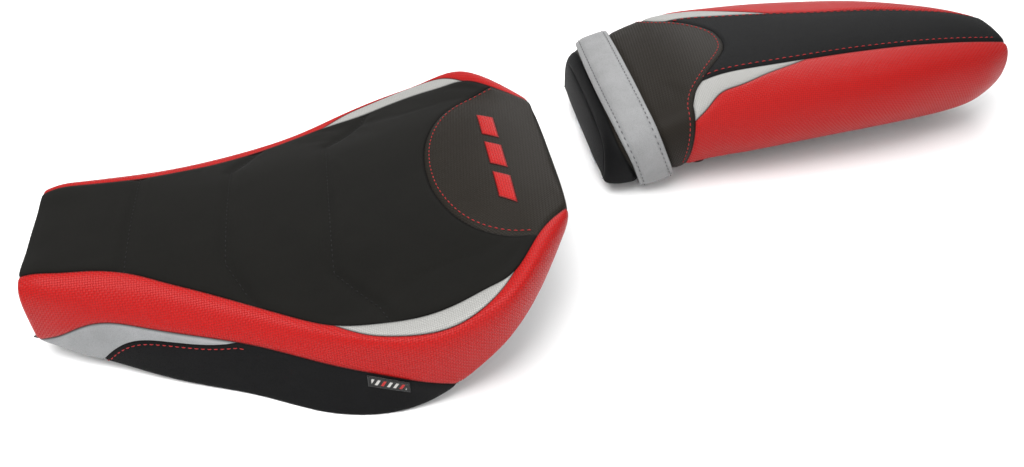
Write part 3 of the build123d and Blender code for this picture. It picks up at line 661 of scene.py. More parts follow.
def cloth_swell(panel, room, held):
    """How far cloth stands out when it is sewn down along a panel's seams and blown up, in metres.

    A copy of the grid with points CLOTH_CELL apart is pinned at the seams and where held is
    true, and the cloth swells for CLOTH_FRAMES frames without gravity. A point's way out d becomes
    room x tanh(d / room), and a spline carries it over to the fine grid.
    """
    rows, columns = sparse(panel.points, 0), sparse(panel.points, 1)
    pick = np.ix_(rows, columns)
    points, out = panel.points[pick], panel.out[pick]
    along, across = points[1:, :-1] - points[:-1, :-1], points[:-1, 1:] - points[:-1, :-1]
    facing = (np.cross(along, across) * out[:-1, :-1]).sum()
    faces = grid_faces(len(rows), len(columns), facing > 0)
    piece = new_piece("cloth_trial", points, faces.tolist())
    pinned = piece.vertex_groups.new(name="sewn")
    pinned.add(np.flatnonzero(held[pick].ravel()).tolist(), 1.0, "REPLACE")
    swelling = piece.modifiers.new("swelling", "CLOTH")
    cloth = swelling.settings
    cloth.vertex_group_mass = "sewn"
    cloth.use_pressure, cloth.uniform_pressure_force = True, CLOTH_PRESSURE
    cloth.effector_weights.gravity = 0.0
    cloth.tension_stiffness = cloth.compression_stiffness = CLOTH_STIFFNESS
    scene = bpy.context.scene
    for number in range(1, CLOTH_FRAMES + 1):
        scene.frame_set(number)
    seen = piece.evaluated_get(bpy.context.evaluated_depsgraph_get()).data
    moved = np.zeros(points.size, np.float32)
    seen.vertices.foreach_get("co", moved)
    way = ((moved.reshape(points.shape) - points) * out).sum(-1)
    mesh = piece.data
    bpy.data.objects.remove(piece)
    bpy.data.meshes.remove(mesh)
    scene.frame_set(1)
    if not np.isfinite(way).all():
        raise ValueError("the cloth of a panel flew apart")
    way = room * np.tanh(np.maximum(way, 0) / room)
    fine = stretched(way, rows, panel.s.shape[0])
    return np.clip(stretched(fine.T, columns, panel.s.shape[1]).T, 0, room)


def sewn_relief(panel, pull, room, reach=0.010, from_channel=None):
    """Swells a panel by up to room between its seams, and pulls it in at them by pull.

    lift = swelling - pull exp(-(d / FOLD)^2), with d from the nearest seam.
    """
    d = panel.edge if from_channel is None else np.minimum(panel.edge, from_channel)
    if room > 0:
        held = (d < 0.0016) | (np.abs(panel.t) > 0.97)
        if from_channel is not None:
            held |= from_channel < 0.003
        panel.lift += cloth_swell(panel, room, held)
    else:
        panel.lift += room * (1 - np.exp(-(d / reach) ** 2))
    panel.lift -= pull * np.exp(-(panel.edge / FOLD) ** 2)


def distance_to_path(s, y, path):
    """Distance of each (s, y) from a path of straight runs, in metres."""
    best = np.full(s.shape, 1e3)
    for (s0, y0), (s1, y1) in zip(path, path[1:]):
        run = np.array([s1 - s0, y1 - y0])
        share = np.clip(((s - s0) * run[0] + (y - y0) * run[1]) / (run @ run), 0, 1)
        best = np.minimum(best, np.hypot(s - s0 - share * run[0], y - y0 - share * run[1]))
    return best


# The three sewn channels across the rider's panel: distance back, half width at which each
# turns back, and where it ends.
CHANNELS = [
    [(0.076, 0.0), (0.076, 0.070)],
    [(0.148, 0.0), (0.148, 0.058), (0.168, 0.096)],
    [(0.227, 0.0), (0.227, 0.082), (0.257, 0.118), (0.267, 0.142)],
]


def channel_distance(panel):
    """Distance of the rider panel's points from the nearest sewn channel."""
    y = np.abs(panel.points[..., 1] - RIDER.centre_y)
    return np.min([distance_to_path(panel.s, y, path) for path in CHANNELS], axis=0)


def gentle_waves(panel, depth, size, seed):
    """Soft unevenness: a sum of six plane waves of random heading, about size metres long."""
    rng = np.random.default_rng(seed)
    total = np.zeros(panel.s.shape)
    for _ in range(6):
        heading, phase = rng.uniform(0, 2 * np.pi, 2)
        length = size * rng.uniform(0.7, 1.6)
        along = panel.points[..., 0] * np.cos(heading) + panel.points[..., 1] * np.sin(heading)
        total += np.sin(2 * np.pi * (along + panel.points[..., 2] * 0.6) / length + phase)
    panel.lift += depth * total / 6 * np.clip(panel.edge / 0.012, 0, 1)


# ---------------------------------------------------------------- meshes
def grid_faces(rows, columns, flip):
    """Quads of a grid of rows x columns points, turned over when flip is true."""
    i, j = np.meshgrid(np.arange(rows - 1), np.arange(columns - 1), indexing="ij")
    corner = (i * columns + j).ravel()
    quads = np.stack([corner, corner + 1, corner + columns + 1, corner + columns], -1)
    return quads[:, ::-1] if flip else quads


def new_piece(name, points, faces, uv=None, edge=None, smooth=True):
    """A mesh object at the origin, with a UV map in metres and its distance from the seams.

    points is any array of places, and faces is a list of lists of their numbers.
    """
    mesh = bpy.data.meshes.new(name)
    mesh.from_pydata(points.reshape(-1, 3).tolist(), [], faces)
    corners = np.zeros(len(mesh.loops), np.int32)
    mesh.loops.foreach_get("vertex_index", corners)
    if uv is not None:
        layer = mesh.uv_layers.new(name="UVMap")
        layer.data.foreach_set("uv", uv.reshape(-1, 2)[corners].astype(np.float32).ravel())
    if edge is not None:
        layer = mesh.attributes.new("seam_mm", "FLOAT", "POINT")
        layer.data.foreach_set("value", (edge.ravel() / MM).astype(np.float32))
    if smooth:
        mesh.shade_smooth()
    mesh.update()
    piece = bpy.data.objects.new(name, mesh)
    bpy.context.scene.collection.objects.link(piece)
    return piece


def panel_piece(name, panels, finish, body, nodes, thickness=WALL):
    """Makes one cover from its grids, gives it a wall inwards and ties it to the frame."""
    points, faces, uvs, edges = [], [], [], []
    offset = 0
    for panel in panels:
        lifted = panel.points + panel.out * panel.lift[..., None]
        rows, columns = lifted.shape[:2]
        along = lifted[1:, :-1] - lifted[:-1, :-1]
        across = lifted[:-1, 1:] - lifted[:-1, :-1]
        facing = (np.cross(along, across) * panel.out[:-1, :-1]).sum()
        faces.append(grid_faces(rows, columns, facing > 0) + offset)
        offset += rows * columns
        points.append(lifted.reshape(-1, 3))
        uvs.append(panel.uv.reshape(-1, 2))
        edges.append(panel.edge.ravel())
    piece = new_piece(
        name, np.concatenate(points), np.concatenate(faces).tolist(),
        np.concatenate(uvs), np.concatenate(edges),
    )
    merge_poles(piece)
    piece.data.materials.append(finish)
    wall = piece.modifiers.new("wall", "SOLIDIFY")
    wall.thickness, wall.offset = thickness, -1.0
    PANELS[name] = panels
    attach(piece, body)
    if nodes:
        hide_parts(*nodes)
    return piece


def tube_piece(name, loops, uv):
    """A closed tube through rows of loops, shut by one face at each end, facing outwards."""
    count, around = loops.shape[:2]
    i, j = np.meshgrid(np.arange(count - 1), np.arange(around), indexing="ij")
    a, b = i * around + j, i * around + (j + 1) % around
    sides = np.stack([a, b, b + around, a + around], -1).reshape(-1, 4).tolist()
    ends = [list(range(around))[::-1], list(range((count - 1) * around, count * around))]
    piece = new_piece(name, loops, sides + ends, uv, np.full(loops.shape[:2], FAR_FROM_SEAMS))
    if outward_share(piece.data) < 0:
        piece.data.flip_normals()
    return piece


def merge_poles(piece):
    """Joins the points that fall together where a panel comes to a tip."""
    work = bmesh.new()
    work.from_mesh(piece.data)
    bmesh.ops.remove_doubles(work, verts=work.verts, dist=0.00002)
    bmesh.ops.dissolve_degenerate(work, edges=work.edges, dist=0.00001)
    work.to_mesh(piece.data)
    work.free()


# ---------------------------------------------------------------- stitches
def walk(panel, s, t, offset, pitch, length, start=0.5):
    """Places stitches along a path on a form, moved sideways by offset.

    The path is moved over the surface by solving dP = P_s ds + P_t dt for the wanted step, then
    cut into equal runs of one pitch. The answer is each stitch's two ends and its outward normal.
    """
    form = panel.form
    path = form.at(s, t)
    ahead = np.gradient(path, axis=0)
    ahead /= np.maximum(np.linalg.norm(ahead, axis=-1, keepdims=True), 1e-12)
    aside = np.cross(form.normal(s, t), ahead) * offset
    along, across = form.slopes(s, t)
    aa, ab, bb = (along**2).sum(-1), (along * across).sum(-1), (across**2).sum(-1)
    ra, rb = (along * aside).sum(-1), (across * aside).sum(-1)
    whole = aa * bb - ab**2
    s, t = s + (ra * bb - rb * ab) / whole, t + (rb * aa - ra * ab) / whole
    path = form.at(s, t)
    along = np.concatenate([[0], np.cumsum(np.linalg.norm(np.diff(path, axis=0), axis=-1))])
    middles = np.arange(pitch * start, along[-1] - pitch * 0.3, pitch)
    ends = []
    for shift in (-length / 2, length / 2):
        here = middles + shift
        ends.append((np.interp(here, along, s), np.interp(here, along, t)))
    (s0, t0), (s1, t1) = ends
    middle_s, middle_t = np.interp(middles, along, s), np.interp(middles, along, t)
    lift = lift_at(panel, form.at(middle_s, middle_t))
    out = form.normal(middle_s, middle_t)
    raise_by = out * lift[:, None]
    return form.at(s0, t0) + raise_by, form.at(s1, t1) + raise_by, out


def lift_at(panel, points):
    """How far the panel stands off its form at the nearest of its own points."""
    index = nearest(points, panel.points.reshape(-1, 3))[1]
    return panel.lift.reshape(-1)[index]


def stitch_mesh(name, runs, radius, finish, body):
    """One object of short thread stitches, each a tube that arches out of the cover.

    Along a stitch at share u the centre rises by radius (1.1 sin(pi u) - 0.35) and the tube's
    radius is radius sin(pi (0.12 + 0.76 u)).
    """
    start = np.concatenate([run[0] for run in runs])
    end = np.concatenate([run[1] for run in runs])
    out = np.concatenate([run[2] for run in runs])
    ahead = end - start
    side = np.cross(out, ahead)
    side /= np.linalg.norm(side, axis=-1, keepdims=True)
    u = np.linspace(0, 1, 5)
    turn = np.linspace(0, 2 * np.pi, 6, endpoint=False)
    centre = start[:, None] + ahead[:, None] * u[None, :, None]
    centre += out[:, None] * (radius * (1.1 * np.sin(np.pi * u) - 0.35))[None, :, None]
    thick = radius * np.sin(np.pi * (0.12 + 0.76 * u))
    ring = (
        side[:, None, None] * np.cos(turn)[None, None, :, None]
        + out[:, None, None] * np.sin(turn)[None, None, :, None]
    )
    points = centre[:, :, None] + ring * thick[None, :, None, None]
    count = len(start)
    i, j = np.meshgrid(np.arange(4), np.arange(6), indexing="ij")
    a, b = i * 6 + j, i * 6 + (j + 1) % 6
    tube = np.stack([a, b, b + 6, a + 6], -1).reshape(-1, 4)
    ends = np.array([[0, 5, 4, 3], [0, 3, 2, 1], [24, 25, 26, 27], [24, 27, 28, 29]])
    one = np.concatenate([tube[:, ::-1], ends[:, ::-1]])
    faces = (one[None] + (np.arange(count) * 30)[:, None, None]).reshape(-1, 4)
    share = np.broadcast_to(u[None, :, None, None], points.shape[:3] + (1,))
    uv = np.concatenate([share, np.broadcast_to(turn[None, None, :, None], share.shape)], -1)
    piece = new_piece(name, points, faces.tolist(), uv)
    piece.data.materials.append(finish)
    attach(piece, body)


# ---------------------------------------------------------------- finishes
class Finish:
    """A node material being put together: a Principled shader and helpers that feed it."""

    def __init__(self, name, rough, **constants):
        self.material = bpy.data.materials.new(name)
        self.material.use_nodes = True
        self.nodes = self.material.node_tree.nodes
        self.links = self.material.node_tree.links
        self.shader = self.nodes["Principled BSDF"]
        self.shader.inputs["Roughness"].default_value = rough
        for socket, value in constants.items():
            self.shader.inputs[socket.replace("_", " ")].default_value = value
        self.height = None

    def link(self, source, target):
        if isinstance(source, (int, float)):
            target.default_value = source
        else:
            self.links.new(source, target)

    def math(self, kind, a, b=0.0):
        node = self.nodes.new("ShaderNodeMath")
        node.operation = kind
        self.link(a, node.inputs[0])
        self.link(b, node.inputs[1])
        return node.outputs[0]

    def object_place(self):
        return self.nodes.new("ShaderNodeTexCoord").outputs["Object"]

    def uv(self):
        """The piece's own UV map, as two numbers."""
        place = self.nodes.new("ShaderNodeUVMap")
        place.uv_map = "UVMap"
        split = self.nodes.new("ShaderNodeSeparateXYZ")
        self.links.new(place.outputs[0], split.inputs[0])
        return split.outputs[0], split.outputs[1]

    def uv_mm(self):
        """The same in millimetres, on a cover whose map is in metres."""
        return tuple(self.math("MULTIPLY", number, 1000.0) for number in self.uv())

    def seam_mm(self):
        node = self.nodes.new("ShaderNodeAttribute")
        node.attribute_name = "seam_mm"
        return node.outputs["Fac"]

    def noise(self, scale, detail=3.0, rough=0.55):
        node = self.nodes.new("ShaderNodeTexNoise")
        node.inputs["Scale"].default_value = scale
        node.inputs["Detail"].default_value = detail
        node.inputs["Roughness"].default_value = rough
        self.links.new(self.object_place(), node.inputs["Vector"])
        return node.outputs["Fac"]

    def cells(self, scale):
        """Distance from the borders of the cells of a leather-like grain."""
        node = self.nodes.new("ShaderNodeTexVoronoi")
        node.feature = "DISTANCE_TO_EDGE"
        node.inputs["Scale"].default_value = scale
        self.links.new(self.object_place(), node.inputs["Vector"])
        return node.outputs["Distance"]

    def spread(self, value, low, high, to_low=0.0, to_high=1.0):
        """value carried from low..high onto to_low..to_high, and held there."""
        node = self.nodes.new("ShaderNodeMapRange")
        for socket, number in zip(("From Min", "From Max", "To Min", "To Max"),
                                  (low, high, to_low, to_high)):
            node.inputs[socket].default_value = number
        self.links.new(value, node.inputs["Value"])
        return node.outputs["Result"]

    def blend(self, share, first, second):
        """A colour between two, each a colour or another node's colour."""
        node = self.nodes.new("ShaderNodeMix")
        node.data_type = "RGBA"
        self.links.new(share, node.inputs[0])
        for socket, colour in ((node.inputs[6], first), (node.inputs[7], second)):
            if isinstance(colour, (tuple, list)):
                socket.default_value = (*colour[:3], 1.0)
            else:
                self.links.new(colour, socket)
        return node.outputs[2]

    def paint(self, colour):
        self.links.new(colour, self.shader.inputs["Base Color"])

    def roughen(self, value):
        self.links.new(value, self.shader.inputs["Roughness"])

    def raise_by(self, height, millimetres, strength=1.0):
        """Adds a bump of a height map, 0 to 1, that stands millimetres tall."""
        bump = self.nodes.new("ShaderNodeBump")
        bump.inputs["Distance"].default_value = millimetres * MM
        bump.inputs["Strength"].default_value = strength
        self.links.new(height, bump.inputs["Height"])
        if self.height is not None:
            self.links.new(self.height, bump.inputs["Normal"])
        self.height = bump.outputs["Normal"]
        self.links.new(self.height, self.shader.inputs["Normal"])


def shade(colour, times):
    """A colour made darker or lighter."""
    return tuple(min(channel * times, 1.0) for channel in colour[:3])


def blend_in_painted_seam_shade(finish, colour, painted_fold_colour, width=1.6):
    """A colour that turns into a given darker colour within width millimetres of a seam: painted shade
    in the seam's fold.
    """
    # near is 0 at the seam and 1 from width millimetres on, so the painted shade is strongest in the
    # seam itself
    near = finish.spread(finish.seam_mm(), 0.1, width)
    return finish.blend(near, painted_fold_colour, colour)


def basket(finish, pitch, turned=0.0):
    """Small basket weave, 0 in the gaps and 1 on the strands, from the UV map.

    With u and v in strands, the strand along u stands |sin(pi v)| tall in every other cell and
    the one along v stands |sin(pi u)| tall in the rest.
    """
    u, v = finish.uv_mm()
    do = finish.math
    if turned:
        cos, sin = math.cos(turned), math.sin(turned)
        u, v = (
            do("SUBTRACT", do("MULTIPLY", u, cos), do("MULTIPLY", v, sin)),
            do("ADD", do("MULTIPLY", u, sin), do("MULTIPLY", v, cos)),
        )
    u, v = do("DIVIDE", u, pitch), do("DIVIDE", v, pitch)
    cell = do("ADD", do("FLOOR", u), do("FLOOR", v))
    which = do("ABSOLUTE", do("MODULO", cell, 2.0))
    along = do("ABSOLUTE", do("SINE", do("MULTIPLY", u, math.pi)))
    across = do("ABSOLUTE", do("SINE", do("MULTIPLY", v, math.pi)))
    return do("ADD", do("MULTIPLY", along, which), do("MULTIPLY", across, do("SUBTRACT", 1.0, which)))


def suede(look):
    """Matte microfibre: fine nap, cloudy brushing and a soft sheen."""
    finish = Finish(
        "black suede", 0.94, Sheen_Weight=0.02, Sheen_Roughness=0.5, Specular_IOR_Level=0.08
    )
    clouds = finish.noise(38.0, 4.0, 0.6)
    nap = finish.noise(2600.0, 2.0, 0.7)
    brushed = finish.spread(clouds, 0.3, 0.7)
    cloth = finish.blend(brushed, shade(look.black, 0.8), shade(look.black, 1.3))
    cloth = finish.blend(finish.spread(nap, 0.3, 0.8), cloth, shade(look.black, 1.9))
    # Painted shade: the microfibre turns to 0.4 of its black in the fold of each seam
    finish.paint(blend_in_painted_seam_shade(finish, cloth, shade(look.black, 0.4)))
    finish.roughen(finish.spread(clouds, 0.2, 0.8, 0.86, 0.97))
    finish.raise_by(nap, 0.10)
    finish.raise_by(finish.noise(420.0, 3.0), 0.08, 0.6)
    return finish.material


def ribbed(look):
    """Charcoal vinyl pressed with fine slanting ribs in two directions, like woven fibre."""
    finish = Finish("ribbed charcoal vinyl", 0.55, Specular_IOR_Level=0.12)
    weave = basket(finish, 1.7, math.radians(38))
    rib = finish.spread(weave, 0.0, 0.9)
    base = finish.blend(rib, shade(look.charcoal, 0.45), shade(look.charcoal, 1.25))
    clouds = finish.noise(60.0)
    base = finish.blend(finish.spread(clouds, 0.3, 0.7, 0.0, 0.35), base, shade(look.charcoal, 0.7))
    # Painted shade: the ribbed vinyl turns to 0.2 of its charcoal in the fold of each seam
    finish.paint(blend_in_painted_seam_shade(finish, base, shade(look.charcoal, 0.2)))
    finish.roughen(finish.spread(rib, 0.0, 1.0, 0.66, 0.46))
    finish.raise_by(rib, 0.16)
    return finish.material


def embossed_red(look):
    """Red vinyl embossed with a small basket weave, shinier on the strands."""
    finish = Finish("red embossed vinyl", 0.48, Specular_IOR_Level=0.2)
    weave = basket(finish, 1.9)
    tall = finish.spread(weave, 0.05, 0.85)
    clouds = finish.noise(45.0)
    base = finish.blend(tall, shade(look.red, 0.58), look.red[:])
    base = finish.blend(finish.spread(clouds, 0.25, 0.75, 0.0, 0.3), base, shade(look.red, 0.82))
    # Painted shade: the red turns to 0.1 of itself in the fold of each seam
    finish.paint(blend_in_painted_seam_shade(finish, base, shade(look.red, 0.10)))
    finish.roughen(finish.spread(tall, 0.0, 1.0, 0.62, 0.40))
    finish.raise_by(tall, 0.22)
    finish.raise_by(finish.noise(1900.0, 2.0), 0.03)
    return finish.material


def woven_silver(look):
    """Light grey vinyl embossed with a small upright weave."""
    finish = Finish("silver woven vinyl", 0.45, Specular_IOR_Level=0.45)
    tall = finish.spread(basket(finish, 1.5), 0.05, 0.85)
    base = finish.blend(tall, shade(look.silver, 0.72), shade(look.silver, 1.06))
    # Painted shade: the silver turns to 0.2 of itself in the fold of each seam
    finish.paint(blend_in_painted_seam_shade(finish, base, shade(look.silver, 0.2)))
    finish.roughen(finish.spread(tall, 0.0, 1.0, 0.6, 0.42))
    finish.raise_by(tall, 0.18)
    return finish.material


def smooth_vinyl(name, colour, grain, tall, rough, painted_fold_darkness, gloss):
    """Vinyl with a leather-like grain: wrinkled cells over fine noise.

    grain is the cells per metre, tall their height in millimetres, and the number after rough how
    dark the painted shade in the fold of a seam is.
    """
    finish = Finish(name, rough, Specular_IOR_Level=gloss)
    pebble = finish.spread(finish.cells(grain), 0.0, 0.18)
    clouds = finish.noise(50.0)
    base = finish.blend(finish.spread(clouds, 0.3, 0.7), shade(colour, 0.9), shade(colour, 1.08))
    base = finish.blend(finish.spread(pebble, 0.0, 1.0, 0.35, 0.0), base, shade(colour, 0.55))
    # Painted shade in the fold of each seam, as dark as the number after rough says
    finish.paint(blend_in_painted_seam_shade(finish, base, shade(colour, painted_fold_darkness)))
    finish.roughen(finish.spread(pebble, 0.0, 1.0, min(rough + 0.18, 1.0), rough))
    finish.raise_by(pebble, tall)
    finish.raise_by(finish.noise(1500.0, 2.0), 0.02)
    return finish.material


def thread(name, colour):
    """Sewing thread: two plies twisted round each other, with a little fuzz."""
    finish = Finish(name, 0.75, Sheen_Weight=0.05, Specular_IOR_Level=0.2)
    along, around = finish.uv()
    turned = finish.math("ADD", finish.math("MULTIPLY", along, 9.0), around)
    twist = finish.math("ABSOLUTE", finish.math("SINE", turned))
    finish.paint(finish.blend(twist, shade(colour, 0.45), colour))
    finish.raise_by(twist, 0.12)
    return finish.material


def woven_tag():
    """Black woven tag with a border and slanting pale and red bars across its middle.

    Bars: the slanted place (u + 0.6 v) / 4.2 mm leaves a share below 0.45 on a bar, every third
    bar is red, and the pattern holds only between the borders.
    """
    finish = Finish("woven tag", 0.8, Sheen_Weight=0.2, Specular_IOR_Level=0.2)
    u, v = finish.uv_mm()
    do = finish.math
    place = do("DIVIDE", do("ADD", u, do("MULTIPLY", v, 0.6)), 4.2)
    on_bar = do("LESS_THAN", do("FRACT", place), 0.45)
    third = do("LESS_THAN", do("MODULO", do("FLOOR", place), 3.0), 0.5)
    inside = do("MULTIPLY", do("GREATER_THAN", v, 2.0), do("LESS_THAN", v, 6.5))
    ends = do("MULTIPLY", do("GREATER_THAN", u, 2.5), do("LESS_THAN", u, 26.5))
    shown = do("MULTIPLY", on_bar, do("MULTIPLY", inside, ends))
    weft = do("ABSOLUTE", do("SINE", do("MULTIPLY", v, 12.0)))
    ink = finish.blend(third, (0.45, 0.44, 0.42), (0.36, 0.012, 0.010))
    cloth = finish.blend(shown, (0.006, 0.006, 0.006), ink)
    gaps = finish.spread(weft, 0.0, 0.5, 0.3, 0.0)
    finish.paint(finish.blend(gaps, cloth, (0.003, 0.003, 0.003)))
    finish.raise_by(weft, 0.08)
    return finish.material


# Name, colour, roughness, metalness, grains per metre, their height in mm, and share of wear.
HARD_FINISHES = {
    "pan_plastic": ("moulded pan plastic", (0.018, 0.018, 0.019), 0.55, 0.0, 900.0, 0.05, 0.3),
    "moulded_foam": ("moulded foam skin", (0.55, 0.50, 0.36), 0.9, 0.0, 500.0, 0.12, 0.2),
    "staple_wire": ("galvanised staple wire", (0.55, 0.56, 0.57), 0.35, 1.0, 1800.0, 0.01, 0.3),
    "bumper_rubber": ("bumper rubber", (0.016, 0.016, 0.016), 0.8, 0.0, 700.0, 0.06, 0.2),
    "insert_brass": ("turned brass", (0.60, 0.42, 0.16), 0.3, 1.0, 1400.0, 0.01, 0.3),
    "zinc_steel": ("zinc plated steel", (0.55, 0.57, 0.60), 0.32, 1.0, 600.0, 0.01, 0.35),
}


def hard_finish(name, colour, rough, metal, grain, tall, worn):
    """Moulded plastic, rubber, foam skin or metal: fine grain, and marks from handling."""
    finish = Finish(name, rough, Metallic=metal)
    specks = finish.noise(grain, 4.0, 0.6)
    clouds = finish.noise(30.0, 3.0)
    base = finish.blend(finish.spread(clouds, 0.3, 0.7), shade(colour, 0.85), shade(colour, 1.1))
    base = finish.blend(finish.spread(specks, 0.62, 0.8, 0.0, worn), base, shade(colour, 1.6))
    finish.paint(base)
    finish.roughen(finish.spread(specks, 0.2, 0.8, max(rough - 0.1, 0.05), min(rough + 0.12, 1.0)))
    finish.raise_by(specks, tall)
    return finish.material


def finish_of(context, name):
    """The finish called name, made once from the scene's colours and kept."""
    if name in FINISHES:
        return FINISHES[name]
    look = context.scene.seat_look
    makers = {
        "suede": lambda: suede(look),
        "ribbed": lambda: ribbed(look),
        "red": lambda: embossed_red(look),
        "silver weave": lambda: woven_silver(look),
        # In each smooth vinyl the number before the last sets how dark the painted shade in the seams
        # is
        "silver smooth": lambda: smooth_vinyl(
            "silver smooth vinyl", look.silver_smooth[:], 900.0, 0.03, 0.42, 0.25, 0.4
        ),
        "black grain": lambda: smooth_vinyl(
            "black grained vinyl", look.blue_black[:], 1100.0, 0.07, 0.60, 0.3, 0.1
        ),
        "strap": lambda: smooth_vinyl(
            "grey strap vinyl", look.strap[:], 800.0, 0.04, 0.5, 0.5, 0.4
        ),
        "woven tag": woven_tag,
        "red thread": lambda: thread("red thread", look.red_thread[:]),
        "grey thread": lambda: thread("grey thread", (0.10, 0.10, 0.105)),
        "black thread": lambda: thread("black thread", (0.005, 0.005, 0.005)),
    }
    if name in HARD_FINISHES:
        FINISHES[name] = hard_finish(*HARD_FINISHES[name])
        return FINISHES[name]
    FINISHES[name] = makers[name]()
    return FINISHES[name]


FINISHES = {}  # the finishes made so far


# ---------------------------------------------------------------- what a user can change
class SeatLook(bpy.types.PropertyGroup):
    """Colours of the covers and threads."""

    black: FloatVectorProperty(
        name="Black", description="Microfibre on the rider's panel", subtype="COLOR",
        size=3, min=0, max=1, default=(0.0052, 0.0050, 0.0044),
    )
    charcoal: FloatVectorProperty(
        name="Charcoal", description="Ribbed vinyl", subtype="COLOR",
        size=3, min=0, max=1, default=(0.0125, 0.0098, 0.0070),
    )
    red: FloatVectorProperty(
        name="Red", description="Embossed side covers", subtype="COLOR",
        size=3, min=0, max=1, default=(0.38, 0.0045, 0.0035),
    )
    silver: FloatVectorProperty(
        name="Silver", description="Woven inserts", subtype="COLOR",
        size=3, min=0, max=1, default=(0.30, 0.298, 0.285),
    )
    silver_smooth: FloatVectorProperty(
        name="Smooth silver", description="Smooth inserts by the nose", subtype="COLOR",
        size=3, min=0, max=1, default=(0.22, 0.226, 0.230),
    )
    blue_black: FloatVectorProperty(
        name="Blue black", description="Grained vinyl on the lower sides", subtype="COLOR",
        size=3, min=0, max=1, default=(0.0042, 0.0043, 0.0046),
    )
    strap: FloatVectorProperty(
        name="Strap", description="Grab strap", subtype="COLOR",
        size=3, min=0, max=1, default=(0.225, 0.227, 0.229),
    )
    red_thread: FloatVectorProperty(
        name="Red thread", description="Topstitching", subtype="COLOR",
        size=3, min=0, max=1, default=(0.40, 0.020, 0.022),
    )


class SeatSewing(bpy.types.PropertyGroup):
    """Sizes of the seams, the padding and the stitches."""

    seam_pull: FloatProperty(
        name="Seam depth", description="How far a seam pulls the cover in", unit="LENGTH",
        default=0.0011, min=0, max=0.003,
    )
    swell: FloatProperty(
        name="Swell", description="How far padding stands out between seams", unit="LENGTH",
        default=0.0012, min=0, max=0.004,
    )
    channel_depth: FloatProperty(
        name="Channel depth", description="Depth of the sewn channels", unit="LENGTH",
        default=0.0020, min=0, max=0.006,
    )
    thread_radius: FloatProperty(
        name="Thread radius", description="Half the width of a stitch", unit="LENGTH",
        default=0.00042, min=0.0002, max=0.001,
    )
    rider_pitch: FloatProperty(
        name="Rider stitch pitch", description="From one stitch to the next", unit="LENGTH",
        default=0.0050, min=0.002, max=0.012,
    )
    pillion_pitch: FloatProperty(
        name="Pillion stitch pitch", description="From one stitch to the next", unit="LENGTH",
        default=0.0068, min=0.002, max=0.012,
    )
    stitch_inset: FloatProperty(
        name="Topstitch inset", description="From a seam to its topstitching", unit="LENGTH",
        default=0.0048, min=0.001, max=0.012,
    )


# ---------------------------------------------------------------- building steps
def settle(panel):
    """Keeps the padding off the bottom edge and the hem, so that nothing goes under the floor."""
    if hasattr(panel, "t"):
        near = np.clip((1.0 - np.abs(panel.t)) / 0.06, 0, 1)
        panel.lift = np.where(panel.lift > 0, panel.lift * near, panel.lift)
    panel.lift = np.maximum(panel.lift, -DEEPEST)


class SEAT_OT_rider_top(bpy.types.Operator):
    """Makes the rider's centre panel with its sewn channels, and the ribbed panel behind it"""

    bl_idname = "seat.rider_top"
    bl_label = "Rider top covers"

    def execute(self, context):
        sew = context.scene.seat_sewing
        centre, hump = rider_top_panels()
        from_channel = channel_distance(centre)
        sewn_relief(centre, sew.seam_pull, sew.swell * 1.3, 0.018, from_channel)
        centre.lift -= sew.channel_depth * np.exp(-(from_channel / 0.0045) ** 2)
        gentle_waves(centre, depth=0.0005, size=0.10, seed=4)
        sewn_relief(hump, sew.seam_pull, sew.swell, 0.020)
        cap = EndCap(RIDER, False, 0.002)
        sewn_relief(cap, sew.seam_pull * 0.6, 0.0)
        for panel in (centre, hump):
            settle(panel)
        panel_piece(
            "rider_centre_cover", [centre], finish_of(context, "suede"), "rider_seat",
            ["rider_centre_panel"],
        )
        panel_piece(
            "rider_hump_cover", [hump, cap], finish_of(context, "ribbed"), "rider_seat",
            ["rider_hump_panel"],
        )
        return {"FINISHED"}


class SEAT_OT_rider_sides(bpy.types.Operator):
    """Makes the rider seat's bands, inserts, lower sides and nose"""

    bl_idname = "seat.rider_sides"
    bl_label = "Rider side covers"

    FINISH = {
        "rider_side_band": ("red", "red_embossed_vinyl"),
        "rider_upper_insert": ("silver weave", "silver_woven_vinyl"),
        "rider_nose_insert": ("silver smooth", "silver_smooth_vinyl"),
        "rider_lower_side": ("black grain", "black_grained_vinyl"),
    }

    def execute(self, context):
        sew = context.scene.seat_sewing
        for name, left in rider_side_panels().items():
            finish, slot = self.FINISH[name]
            sewn_relief(left, sew.seam_pull, sew.swell * 0.7)
            settle(left)
            right = mirrored(left)
            right.lift = left.lift
            for side, panel in (("left", left), ("right", right)):
                node = name + "_" + side
                panel_piece(
                    node + "_cover", [panel], finish_of(context, finish), "rider_seat", [node]
                )
        nose = EndCap(RIDER, True, 0.003)
        sewn_relief(nose, sew.seam_pull, 0.0)
        panel_piece(
            "rider_nose_cover", [nose], finish_of(context, "red"), "rider_seat",
            ["rider_nose_panel"],
        )
        rider_foam_core(context)
        return {"FINISHED"}


def rider_foam_core(context):
    """The moulded foam under the covers: the form moved inwards, closed by flat chords below."""
    s = np.linspace(0.005, RIDER.length - 0.007, 150)
    t = np.linspace(-FOAM_LAPS, FOAM_LAPS, 121)
    s, t = np.meshgrid(s, t, indexing="ij")
    skin = RIDER.at(s, t) - RIDER.normal(s, t) * FOAM_UNDER
    share = np.linspace(0, 1, 26)[None, 1:-1, None]
    under = skin[:, -1:] * (1 - share) + skin[:, :1] * share
    loops = np.concatenate([skin, under], 1)
    piece = tube_piece("rider_foam_core", loops, loops[..., :2])
    piece.data.materials.append(finish_of(context, "moulded_foam"))
    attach(piece, "rider_seat")
    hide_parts("rider_foam")


STRAP_FOOT = 0.050  # distance back of the strap's middle line at the bottom edge
STRAP_LEAN = 25 / 60  # how far it leans forward for its rise


